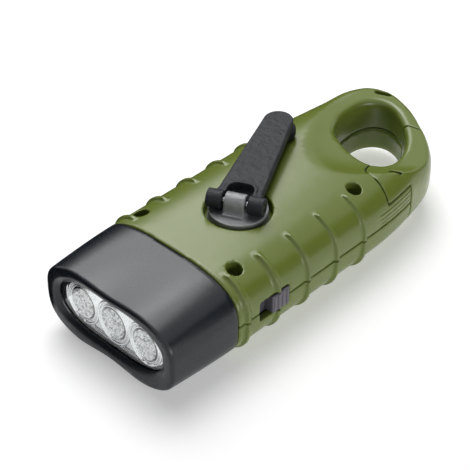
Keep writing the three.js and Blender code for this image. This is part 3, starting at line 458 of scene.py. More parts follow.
class Graph:
    """The node tree of one material or of the world."""

    def __init__(self, owner: str | bpy.types.World) -> None:
        """Starts an empty material of that name, or empties the nodes of a world.

        Args:
            owner: the material's name, or the world itself.
        """
        self.owner = bpy.data.materials.new(owner) if isinstance(owner, str) else owner
        self.owner.use_nodes = True
        self.tree = self.owner.node_tree
        self.tree.nodes.clear()

    def node(
        self,
        kind: str,
        settings: dict[str, Any] | None = None,
        inputs: dict[str | int, Any] | None = None,
        out: str | int = 0,
    ) -> Wire:
        """Adds any node.

        Args:
            kind: the node's type.
            settings: its own settings, made first; stops is a ramp's list of place and colour.
            inputs: numbers, colours or wires, by the socket's name or place.
            out: the output to hand back.

        Returns:
            The chosen output.
        """
        node = self.tree.nodes.new(kind)
        for key, value in (settings or {}).items():
            if key == "stops":
                ramp = node.color_ramp
                while len(ramp.elements) < len(value):
                    ramp.elements.new(1.0)
                for element, (place, colour) in zip(ramp.elements, value):
                    element.position = place
                    element.color = colour
            else:
                setattr(node, key, value)
        for key, value in (inputs or {}).items():
            if isinstance(value, Wire):
                self.tree.links.new(value.socket, node.inputs[key])
            else:
                node.inputs[key].default_value = value
        return Wire(self, node.outputs[out] if len(node.outputs) else None)

    def blend(self, factor: Any, a: Any, b: Any) -> Wire:
        """One colour where the factor is 0 and the other where it is 1."""
        return self.node("ShaderNodeMix", {"data_type": "RGBA"}, {0: factor, 6: a, 7: b}, out=2)

    def where(self, scale: Point = (1000.0, 1000.0, 1000.0)) -> Wire:
        """The place on the object, in millimetres times the given scale."""
        place = self.node("ShaderNodeTexCoord", out="Object")
        return self.node("ShaderNodeVectorMath", {"operation": "MULTIPLY"}, {0: place, 1: scale})

    def noise(self, place: Wire, spacing: float, detail: float = 2.0) -> Wire:
        """Cloudy values about a half, with that many millimetres between peaks."""
        inputs = {"Vector": place, "Scale": 1 / spacing, "Detail": detail}
        return self.node("ShaderNodeTexNoise", None, inputs)

    def bump(self, height: Wire, depth: float, below: Wire | None = None) -> Wire:
        """A relief that many millimetres deep, on top of another where given.

        Args:
            height: the relief's height, from 0 to 1.
            depth: its depth in millimetres.
            below: the relief that it lies on.

        Returns:
            The bent normal.
        """
        inputs: dict[str | int, Any] = {"Height": height, "Distance": depth * MM, "Strength": 1.0}
        if below is not None:
            inputs["Normal"] = below
        return self.node("ShaderNodeBump", None, inputs)

    def finish(self, shader: Wire) -> bpy.types.Material:
        """Sends the shader to the surface and hands back the material."""
        self.node("ShaderNodeOutputMaterial", None, {"Surface": shader})
        return self.owner


@dataclass(frozen=True)
class Moulded:
    """Moulded plastic: a colour that drifts a little, a slow waviness and a fine grain."""

    name: str
    colour: str
    second: str
    roughness: float
    spread: float = 0.06
    grain: float = 0.22
    depth: float = 0.006
    level: float = 0.5

    def material(self) -> bpy.types.Material:
        """Builds the node material.

        Returns:
            The material, made of nodes alone.
        """
        graph = Graph(self.name)
        place = graph.where()
        clouds = graph.noise(place, 9.0, 3.0)
        fine = graph.noise(place, self.grain, 2.0)
        colour = graph.blend(clouds, tone(self.colour), tone(self.second))
        rough = self.roughness + self.spread * (clouds - 0.5) + self.spread * (fine - 0.5)
        relief = graph.bump(graph.noise(place, 2.4, 2.0), 4 * self.depth)
        relief = graph.bump(fine, self.depth, relief)
        return graph.finish(graph.node("ShaderNodeBsdfPrincipled", None, {
            "Base Color": colour, "Roughness": rough, "Normal": relief,
            "Specular IOR Level": self.level,
        }))


@dataclass(frozen=True)
class Metal:
    """Bare or plated metal with fine lines or a mirror skin."""

    name: str
    colour: str
    roughness: float
    lines: float = 0.3
    depth: float = 0.002

    def material(self) -> bpy.types.Material:
        """Builds the node material.

        Returns:
            The material, made of nodes alone.
        """
        graph = Graph(self.name)
        brushed = graph.noise(graph.where((200.0, 3000.0, 3000.0)), self.lines, 3.0)
        clouds = graph.noise(graph.where(), 3.0, 3.0)
        dull = graph.blend(clouds, tone(self.colour), tuple(0.92 * v for v in tone(self.colour)[:3]) + (1.0,))
        return graph.finish(graph.node("ShaderNodeBsdfPrincipled", None, {
            "Base Color": dull, "Metallic": 1.0, "Roughness": self.roughness + 0.08 * brushed * clouds,
            "Normal": graph.bump(brushed, self.depth),
        }))


@dataclass(frozen=True)
class Clear:
    """Clear plastic with a slight haze."""

    name: str
    tint: str = "F7FAFA"
    roughness: float = 0.03

    def material(self) -> bpy.types.Material:
        """Builds the node material.

        Returns:
            The material, made of nodes alone.
        """
        graph = Graph(self.name)
        place = graph.where()
        haze = graph.noise(place, 4.0, 2.0)
        fine = graph.noise(place, 0.5, 2.0)
        return graph.finish(graph.node("ShaderNodeBsdfPrincipled", None, {
            "Base Color": graph.blend(haze, tone(self.tint), tone("FFFFFF")),
            "Roughness": self.roughness + 0.03 * haze, "IOR": 1.49,
            "Transmission Weight": 1.0, "Normal": graph.bump(fine, 0.002),
        }))


@dataclass(frozen=True)
class Pebbled:
    """A pebbled clear disc over a bright mirror, drawn opaque, with glints painted into its colour and a
    faint painted glow, though it is no lamp.
    """

    name: str = "pebbled_optic"
    spacing: float = 0.8
    roughness: float = 0.1
    # painted glints: the spacing and weight of a fine noise that paints bright sparkles into the colour
    glint_spacing: float = 0.32
    glint_weight: float = 0.62
    cell_weight: float = 0.34
    # painted glow: the discs give off their painted glint colour as light, though they are no lamp
    glow: float = 0.16
    relief: float = 0.25
    # colours of the painted glints, from dark speck through grey to a white painted highlight
    stops: tuple[tuple[float, str], ...] = ((0.32, "54585A"), (0.43, "C4C8C8"), (0.54, "FFFFFF"))

    def material(self) -> bpy.types.Material:
        """Builds the node material.

        Returns:
            The material, made of nodes alone.
        """
        graph = Graph(self.name)
        place = graph.where()
        pebbles = {"Vector": place, "Scale": 1 / self.spacing}
        cells = graph.node("ShaderNodeTexVoronoi", None, pebbles, out="Distance")
        # painted glints: a fine noise that marks the specks to be painted bright
        painted_glints = graph.noise(place, self.glint_spacing, 3.0)
        stops = [(at, tone(colour)) for at, colour in self.stops]
        # painted highlight: glints and pebble centres ramp from dark specks to white
        bright = self.glint_weight * painted_glints + self.cell_weight * (1.0 - cells)
        light = graph.node("ShaderNodeValToRGB", {"stops": stops}, {0: bright})
        # the painted glint colour goes into Base Color and, as a painted glow, into the emission
        return graph.finish(graph.node("ShaderNodeBsdfPrincipled", None, {
            "Base Color": light, "Metallic": 0.4, "Roughness": self.roughness + 0.1 * painted_glints,
            "Emission Color": light, "Emission Strength": self.glow, "Coat Weight": 0.6,
            "Normal": graph.bump(cells + 0.6 * painted_glints, self.relief),
        }))


@dataclass(frozen=True)
class SolarFace:
    """Dark blue cells divided by fine silver lines."""

    name: str = "solar_cell_face"
    strip: float = 6.2
    finger: float = 1.1

    def material(self) -> bpy.types.Material:
        """Builds the node material.

        Returns:
            The material, made of nodes alone.
        """
        graph = Graph(self.name)
        place = graph.where()
        split = graph.node("ShaderNodeSeparateXYZ", None, {"Vector": place})
        across = graph.node("ShaderNodeSeparateXYZ", None, {"Vector": place}, out=1)
        bus = split.wrapped(self.strip).over(self.strip - 0.35)
        finger = across.wrapped(self.finger).over(self.finger - 0.1)
        silver = bus.largest(finger * 0.6)
        flakes = graph.node("ShaderNodeTexVoronoi", None, {"Vector": place, "Scale": 0.35}, out="Distance")
        blue = graph.blend(flakes, tone("141B3A"), tone("26356B"))
        return graph.finish(graph.node("ShaderNodeBsdfPrincipled", None, {
            "Base Color": graph.blend(silver, blue, tone("A9AEB8")), "Roughness": 0.22 + 0.2 * silver,
            "Metallic": 0.2 + 0.6 * silver, "Normal": graph.bump(silver, 0.02),
        }))


@dataclass(frozen=True)
class Board:
    """Printed circuit board with lacquered tracks."""

    name: str = "circuit_board"

    def material(self) -> bpy.types.Material:
        """Builds the node material.

        Returns:
            The material, made of nodes alone.
        """
        graph = Graph(self.name)
        place = graph.where()
        tracks = graph.node("ShaderNodeTexBrick", None, {
            "Vector": place, "Scale": 0.8, "Color1": tone("1E5A3A"), "Color2": tone("226341"),
            "Mortar": tone("174A2F"), "Mortar Size": 0.03})
        flecks = graph.noise(place, 0.6, 3.0)
        return graph.finish(graph.node("ShaderNodeBsdfPrincipled", None, {
            "Base Color": graph.blend(flecks * 0.3, tracks, tone("3E8C5E")), "Roughness": 0.35 + 0.1 * flecks,
            "Normal": graph.bump(flecks, 0.01),
        }))


class Look(Enum):
    """Every finish of the torch."""

    SHELL = Moulded("olive_shell", "6C7A34", "63712D", 0.25, grain=0.3, depth=0.008, level=0.45)
    BEZEL = Moulded("black_bezel", "13171D", "181D23", 0.28, depth=0.004, level=0.4)
    CRANK = Moulded("charcoal_crank", "26292E", "191B1F", 0.45, grain=0.36, depth=0.1, level=0.19)
    # the hub's light grey is partly its own lighter plastic and partly a painted sheen, standing in for the
    # reflection the arm blocks
    HUB = Moulded("charcoal_hub", "96989A", "6E7072", 0.36, grain=0.5, depth=0.08)
    KNOB = Moulded("black_knob", "08090A", "0D0E0F", 0.55, level=0.16)
    SLIDER = Moulded("grey_slider", "625F67", "57545C", 0.42)
    NYLON = Moulded("nylon_gear", "E4E0D4", "DAD6C8", 0.45)
    TRAY = Moulded("inner_black", "1C1D20", "232427", 0.5)
    MIRROR = Metal("vapour_chrome", "F0F1F2", 0.04, depth=0.0003)
    STEEL = Metal("bright_steel", "B4B6BA", 0.24)
    CELL_CAN = Metal("nickel_can", "C2C3C4", 0.2)
    BRASS = Metal("turned_brass", "C7A75C", 0.28)
    COPPER = Metal("wound_copper", "B06A35", 0.35, lines=0.5, depth=0.05)
    MAGNET = Metal("black_magnet", "3B3D42", 0.42)
    LENS = Clear("front_clear")
    # pebbled optic discs, with painted glints in their colour and a painted glow
    OPTIC = Pebbled()
    LAMP = Clear("lamp_epoxy", tint="EFF3F4", roughness=0.06)
    WINDOW = Clear("window_clear")
    SOLAR = SolarFace()
    BOARD = Board()

    def dress(self, piece: bpy.types.Object) -> None:
        """Puts this finish on a piece, building its material once.

        Args:
            piece: the object that takes the finish.
        """
        made = bpy.data.materials.get(self.value.name) or self.value.material()
        piece.data.materials.clear()
        piece.data.materials.append(made)


def settle(
    name: str, skin: Skin, look: Look, body: str, stands_for: Sequence[str] = ()
) -> bpy.types.Object:
    """Puts a finished piece into the frame.

    Args:
        name: the piece's name.
        skin: its surface.
        look: its finish.
        body: the body it rides on.
        stands_for: the solids it replaces.

    Returns:
        The piece.
    """
    piece = bpy.data.objects.new(name, skin.mesh(name))
    bpy.context.scene.collection.objects.link(piece)
    look.dress(piece)
    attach(piece, body)
    if stands_for:
        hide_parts(*stands_for)
    LOG.info("%s: %d faces on %s", name, len(piece.data.polygons), body)
    return piece


# Case


@dataclass
class Case:
    """The two moulded halves: a squarish oval body that runs out into a dished ring."""

    length: float = 128.0
    width: float = 49.4
    depth: float = 26.0
    wall: float = 2.2
    gap: float = 0.3
    base_sink: float = 0.5
    head_length: float = 23.04
    taper_length: float = 29.952
    ring_reach: float = 20.992
    far_tuck: float = 2.1
    near_tuck: float = 4.3
    dish_floor: float = 21.8
    dish_tilt: float = 0.12
    dish_power: float = 2.2
    dish_bow: float = 2.6
    dish_curve: float = 0.042
    dish_axis: float = 2.1
    dish_least: float = 9.0
    under_lift: float = 5.0
    hole_half: Spot = (13.402, 11.905)
    rim_round: float = 1.8
    rib_count: int = 5
    rib_pitch: float = 11.622
    rib_setback: float = 3.3
    rib_half: float = 0.9
    rib_height: float = 0.8
    rib_span: float = 58.0
    screw_near: float = 16.598
    screw_far: float = 17.982
    column: float = 3.8
    counterbore: float = 2.2
    screw_seat: float = 17.0
    hub: Spot = (16.64, 1.2)
    idler: Spot = (-2.957, 1.2)
    plate_posts: tuple[Spot, ...] = ((27.63, -16.99), (-17.85, -11.99), (3.14, 18.5))
    recess: float = 9.35
    recess_floor: float = 22.6
    slot_size: Spot = (11.2, 6.2)
    solar_size: Spot = (40.0, 24.0)
    solar_x: float = 8.0
    solar_ledge: float = 1.4
    dish_edge_back: float = 4.493
    dish_flat_back: float = 2.995
    under_back: float = 10.992
    hole_ahead: float = 1.754
    screw_setbacks: Spot = (6.605, 54.106)
    slot_setback: float = 13.606
    slot_lift: float = 0.2
    slot_round: float = 0.7
    front_round: float = 0.35
    seam_round: float = 0.4
    base_round: float = 0.8
    dish_round: float = 0.5
    under_round: float = 1.2
    opening_round: float = 0.25
    slot_rim: float = 0.35
    counterbore_round: float = 0.12
    recess_round: float = 0.4
    rib_fade: Spot = (4.0, 1.0)
    rib_crest: float = 0.45
    room_ahead: float = 2.0
    collar_length: float = 6.0
    seam_lap: float = 1.5
    screw_bore: float = 1.3
    hub_bore: float = 3.3
    hub_boss: float = 1.8
    pin_bore: float = 1.1
    post: float = 2.6
    post_base: float = 12.0
    post_bore_top: float = 18.9
    idler_boss_base: float = 20.7
    step: float = 0.24
    tail_shares: tuple[Spot, ...] = (
        (0.485, -0.872), (0.83, -0.7), (0.975, -0.384), (0.892, -0.066), (0.75, 0.168), (0.635, 0.308),
        (0.528, 0.442), (0.396, 0.576), (0.228, 0.712),
    )
    hole_shares: tuple[Spot, ...] = (
        (0.732, -0.476), (0.5, -0.69), (0.18, -0.84), (-0.289, -0.911), (-0.56, -0.887), (-0.782, -0.79),
        (-0.94, -0.621), (-1.004, -0.4), (-0.968, -0.129), (-0.832, 0.185), (-0.632, 0.484), (-0.361, 0.766),
        (-0.054, 0.968), (0.239, 1.081), (0.554, 1.12), (0.839, 1.03), (0.989, 0.8), (1.011, 0.484),
        (0.961, 0.161), (0.854, -0.185),
    )
    tail_mark: tuple[Spot, Spot] = ((-57.09, -10.89), (-58.79, -7.9))
    mark_radius: float = 0.9
    mark_depth: float = 1.8

    def __post_init__(self) -> None:
        """Works out the stations along the torch."""
        self.half = self.width / 2
        self.mid = self.depth / 2
        self.front_x = self.length / 2
        self.junction_x = self.front_x - self.head_length
        self.ring_x = self.ring_reach - self.length / 2
        self.taper_x = self.ring_x + self.taper_length
        self.dish_edge_x = self.taper_x - self.dish_edge_back
        self.dish_flat_x = self.ring_x - self.dish_flat_back
        self.under_edge_x = self.taper_x - self.under_back
        self.hole_x = self.ring_x + self.hole_ahead
        self.screw_x = tuple(self.junction_x - back for back in self.screw_setbacks)
        self.slot_x = self.junction_x - self.slot_setback
        self.slot_z = self.mid + self.slot_lift

    def half_at(self, x: Array, near: bool) -> Array:
        """Half width at x on the near or the far side."""
        tuck = self.near_tuck if near else self.far_tuck
        return self.half - tuck * np.maximum(0, (self.taper_x - x) / self.taper_length) ** 2

    def screw_spots(self) -> list[Spot]:
        """The four case screws in plan."""
        return [(x, y) for x in self.screw_x for y in (-self.screw_far, self.screw_near)]

    def outline(self) -> Array:
        """The torch in plan, from well inside the head round the ring and back.

        Returns:
            Points in order, as rows of x and y.
        """
        lead = self.taper_x - 20
        near, far = (lambda x, n=n: float(self.half_at(np.float64(x), n)) for n in (True, False))
        tail = smooth_line([
            (lead, -far(lead)), (self.ring_x, -far(self.ring_x)),
            *((self.ring_x - a * self.ring_reach, b * self.half) for a, b in self.tail_shares),
            (self.ring_x, near(self.ring_x)), (lead, near(lead)),
        ], False)
        stations = np.linspace(self.front_x, lead, 60)[:-1]
        start = np.array([(x, -far(x)) for x in stations])
        end = np.array([(x, near(x)) for x in stations[::-1]])
        return np.vstack([start, tail, end])

    def hole(self) -> Array:
        """The finger hole in plan."""
        long, wide = self.hole_half
        return smooth_line([(self.hole_x + a * long, b * wide) for a, b in self.hole_shares], True)

    def dish(self, lattice: Lattice) -> Array:
        """Height of the dished top over the plan.

        Args:
            lattice: where to draw it.

        Returns:
            The height at each x and y of the lattice.
        """
        edge = self.dish_edge_x + self.dish_bow - self.dish_curve * (lattice.y - self.dish_axis) ** 2
        run = np.maximum(edge - self.dish_flat_x, self.dish_least)
        share = np.maximum(0, lattice.x - edge + run) / run
        lift = (self.depth - self.dish_floor) * share**self.dish_power
        return self.dish_floor + lift - self.dish_tilt * lattice.y

    def under(self, lattice: Lattice) -> Array:
        """Height of the raised underside of the ring."""
        drop = (self.under_lift + self.base_sink) / (self.under_edge_x - self.ring_x) ** 2
        return self.under_lift - drop * np.maximum(0, lattice.x - self.ring_x) ** 2

    def form(self, lattice: Lattice) -> Field:
        """The whole outside: body, ribs, dish, raised underside and finger hole.

        Args:
            lattice: where to draw it.

        Returns:
            The form, solid inside.
        """
        plan = lattice.plan(self.outline()).values.astype(np.float32)
        q = np.maximum(1 + plan / self.half, 0)
        rise = np.where(lattice.z > self.mid, self.mid, self.mid + self.base_sink)
        t = np.abs(lattice.z - self.mid) / rise
        rho = np.cbrt(q**3 + t**3)
        pull = np.sqrt((q**2 / self.half) ** 2 + (t**2 / rise) ** 2)
        skin = (rho - 1) * rho**2 / np.maximum(pull, 1e-3)
        body = Field(skin - self.ribs(lattice, q, t))
        body = body.meet(Field(-lattice.z), self.base_round)
        body = body.meet(Field(lattice.z - self.dish(lattice)), self.dish_round)
        body = body.meet(Field(self.under(lattice) - lattice.z), self.under_round)
        return body.less(lattice.plan(self.hole()), self.rim_round)

    def ribs(self, lattice: Lattice, q: Array, t: Array) -> Array:
        """How far the grip ribs stand out, steep towards the head and soft behind.

        Args:
            lattice: where to draw it.
            q: share of the way out to the side, 1 at the skin.
            t: share of the way up or down, 1 at the skin.

        Returns:
            The height of the ribs at each point.
        """
        turn = np.degrees(np.arctan2(t**1.5, np.maximum(q, 1e-3) ** 1.5))
        ends = 1 - smooth_step(self.rib_span - self.rib_fade[0], self.rib_span + self.rib_fade[1], turn)
        across = np.zeros(lattice.x.shape)
        for i in range(self.rib_count):
            u = np.abs(lattice.x - (self.junction_x - self.rib_setback - i * self.rib_pitch))
            across = np.maximum(across, 1 - smooth_step(self.rib_crest, self.rib_half, u))
        return self.rib_height * across * ends

    def room(self, lattice: Lattice) -> Field:
        """The space inside both halves.

        Args:
            lattice: where to draw it.

        Returns:
            The space.
        """
        half = np.minimum(self.half_at(lattice.x, True), self.half_at(lattice.x, False)) - self.wall
        q, t = np.abs(lattice.y) / half, np.abs(lattice.z - self.mid) / (self.mid - self.wall)
        inner = Field((np.cbrt(q**3 + t**3) - 1) * (self.mid - self.wall))
        ceiling = Field(lattice.z - self.dish(lattice) + self.wall)
        return inner & ceiling & Field(self.under_edge_x + self.room_ahead - lattice.x)

    def slot(self, lattice: Lattice) -> Field:
        """The opening for the slide switch.

        Args:
            lattice: where to draw it.

        Returns:
            The opening, as a block through the wall.
        """
        a, b = self.slot_size[0] / 2, self.slot_size[1] / 2
        return lattice.box((self.slot_x - a, self.half - 2 * self.wall, self.slot_z - b),
                           (self.slot_x + a, self.half + 4, self.slot_z + b), self.slot_round)

    def build(self, gate: "Gate") -> None:
        """Makes both halves round the gate's room.

        Args:
            gate: the gate that the ring makes room for.
        """
        edge = self.junction_x - self.gap / 2
        for top in (True, False):
            low = self.mid - self.seam_lap if top else -1.0
            high = self.depth + 1.0 if top else self.mid + self.seam_lap
            lattice = Lattice((-self.front_x - 1, -self.half - 2, low),
                              (self.junction_x + 1, self.half + 2, high), self.step)
            form = self.form(lattice).meet(Field(lattice.x - edge), self.front_round)
            bosses = form & self.bosses(lattice, top) & Field(lattice.x - edge + self.collar_length)
            shell = (form - self.room(lattice)) | bosses
            split = self.mid + self.gap / 2 if top else self.mid - self.gap / 2
            side = Field(split - lattice.z) if top else Field(lattice.z - split)
            shell = shell.meet(side, self.seam_round)
            shell = shell.less(gate.room(lattice, self.gap + gate.freedom), self.opening_round)
            shell = shell.less(self.slot(lattice), self.slot_rim) - gate.bores(lattice)
            if top:
                shell = shell - gate.lines(lattice, form)
            for spot in self.screw_spots():
                shell = shell - lattice.drum(spot, self.screw_bore, self.wall, 2 * self.depth)
                if top:
                    sink = lattice.drum(spot, self.counterbore, self.screw_seat, 2 * self.depth)
                    shell = shell.less(sink, self.counterbore_round)
            if top:
                recess = lattice.drum(self.hub, self.recess, self.recess_floor, 2 * self.depth)
                shell = shell.less(recess, self.recess_round)
                shell = shell - lattice.drum(self.hub, self.hub_bore, 0.0, 2 * self.depth)
                roof = self.depth - self.wall - self.gap
                shell = shell - lattice.drum(self.idler, self.pin_bore, 0.0, roof)
                shell = shell - self.mark(lattice, self.tail_mark)
            else:
                for ledge, depth in ((0.0, self.solar_ledge), (self.solar_ledge, self.wall + self.gap)):
                    a, b = self.solar_size[0] / 2 - ledge, self.solar_size[1] / 2 - ledge
                    well = lattice.box((self.solar_x - a, -b, -2), (self.solar_x + a, b, depth))
                    shell = shell.less(well, self.opening_round)
            name = "top_shell" if top else "bottom_shell"
            settle(f"{name}_skin", lattice.skin(shell, 0.15), Look.SHELL, "case", [name])

    def mark(self, lattice: Lattice, ends: tuple[Spot, Spot]) -> Field:
        """A shallow round-ended slot in the dished top."""
        above_floor = Field(self.dish(lattice) - self.mark_depth - lattice.z)
        return lattice.groove(*ends, self.mark_radius) & above_floor

    def bosses(self, lattice: Lattice, top: bool) -> Field:
        """Columns and seats inside one half.

        Args:
            lattice: where to draw it.
            top: whether it is the upper half.

        Returns:
            The columns, not yet trimmed.
        """
        whole = lattice.disc(self.screw_spots()[0], self.column)
        for spot in self.screw_spots()[1:]:
            whole = whole | lattice.disc(spot, self.column)
        if not top:
            return whole
        for spot in self.plate_posts:
            post = lattice.drum(spot, self.post, self.post_base, self.depth)
            whole = whole | (post - lattice.drum(spot, self.pin_bore, 0.0, self.post_bore_top))
        under = self.recess_floor - self.hub_boss
        whole = whole | lattice.drum(self.hub, self.recess + self.wall, under, self.depth)
        return whole | lattice.drum(self.idler, self.post, self.idler_boss_base, self.depth)


@dataclass
class Gate:
    """The spring gate of the ring, pinned beside the case."""

    case: Case
    pivot: Spot = (-27.302, 16.994)
    knuckle: float = 5.8
    column: float = 5.7
    reach: float = 26.803
    drop: float = 14.998
    lap_angle: float = 18.0
    ledge: float = 18.35
    pin: float = 1.0
    mark: tuple[Spot, Spot] = ((-29.15, 17.4), (-30.0, 19.2))
    line_heights: tuple[Spot, ...] = ((14.4, 14.65), (15.75, 16.0), (17.1, 17.35))
    line_reach: Spot = (-31.5, -16.0)
    line_depth: float = 0.35
    line_over: float = 0.2
    freedom: float = 0.1
    tongue_back: float = 4.3
    tongue_run: float = 2.0
    reach_share: float = 0.6
    heel_ease: float = 0.15
    lap_front: float = 7.0
    pin_base: float = 7.7
    spring_pocket: float = 3.25
    edge: float = 0.3
    step: float = 0.2

    def room(self, lattice: Lattice, clear: float) -> Field:
        """The space of the gate in the ring.

        Args:
            lattice: where to draw it.
            clear: clearance; with one, the gate's heel is freed as well.

        Returns:
            The space.
        """
        x, y = self.pivot
        gap = self.case.gap
        tongue = x - self.tongue_back - gap
        seat = self.ledge + gap - clear
        below, above = Field(lattice.z - seat), Field(seat - lattice.z)
        side = Field(np.maximum(lattice.x - x, y - self.drop - lattice.y))
        sweep = lattice.disc(self.pivot, self.reach + self.reach_share * clear)
        lower = sweep & side & Field(lattice.x - tongue - clear)
        lower = lower - (lattice.disc(self.pivot, self.column + gap - clear) & below)
        turn = math.radians(self.lap_angle)
        heel = self.knuckle - self.heel_ease
        hx, hy = x + heel * math.cos(turn), y - heel * math.sin(turn)
        back, front = tongue - self.tongue_run, x + self.lap_front + clear
        lap = lattice.plan(np.array([
            (back, y), (hx - self.knuckle, hy), (hx + clear, hy), (front, self.case.half),
            (front, self.case.width), (back, self.case.width),
        ]))
        upper = (lap | lattice.disc(self.pivot, self.knuckle + clear)) & above
        whole = lower | upper
        if clear:
            relief = lattice.disc(self.pivot, self.knuckle + self.case.wall)
            relief = relief - lattice.disc(self.pivot, self.column)
            whole = whole | (relief & below & Field(np.maximum(lattice.x - x + self.pin, lattice.y - y)))
        return whole

    def lines(self, lattice: Lattice, form: Field) -> Field:
        """Fine grooves along the side, where the gate laps the case.

        Args:
            lattice: where to draw it.
            form: the outside that they follow.

        Returns:
            What they cut away.
        """
        cut = lattice.layer(*self.line_heights[0])
        for span in self.line_heights[1:]:
            cut = cut | lattice.layer(*span)
        x0, x1 = self.line_reach
        near = Field(np.maximum(np.maximum(x0 - lattice.x, lattice.x - x1), -lattice.y))
        return cut & near & form.grown(self.line_over) & Field(-form.values - self.line_depth)

    def bores(self, lattice: Lattice) -> Field:
        """The bore of the pin and the pocket of the spring in the shells.

        Args:
            lattice: where to draw it.

        Returns:
            What they cut away.
        """
        lid = 2 * self.case.depth
        pin = lattice.drum(self.pivot, self.pin + self.case.gap, self.pin_base, lid)
        pocket_base = self.ledge - self.case.wall - self.case.gap
        return pin | lattice.drum(self.pivot, self.spring_pocket, pocket_base, lid)

    def build(self) -> None:
        """Makes the gate."""
        lattice = Lattice((-55.0, 1.5, 2.0), (-19.5, 24.6, 24.0), self.step)
        solid = self.case.form(lattice).meet(self.room(lattice, 0.0), self.edge)
        bore_top = self.ledge + self.case.wall + self.case.gap
        solid = solid - lattice.drum(self.pivot, self.pin + self.case.gap, 0.0, bore_top)
        solid = solid - self.case.mark(lattice, self.mark)
        skin = lattice.skin(solid, 0.1)
        settle("carabiner_gate_skin", skin, Look.SHELL, "gate", ["carabiner_gate"])
        Look.STEEL.dress(frame["nodes"]["gate_pin"])
        Look.STEEL.dress(frame["nodes"]["gate_spring"])


# Head


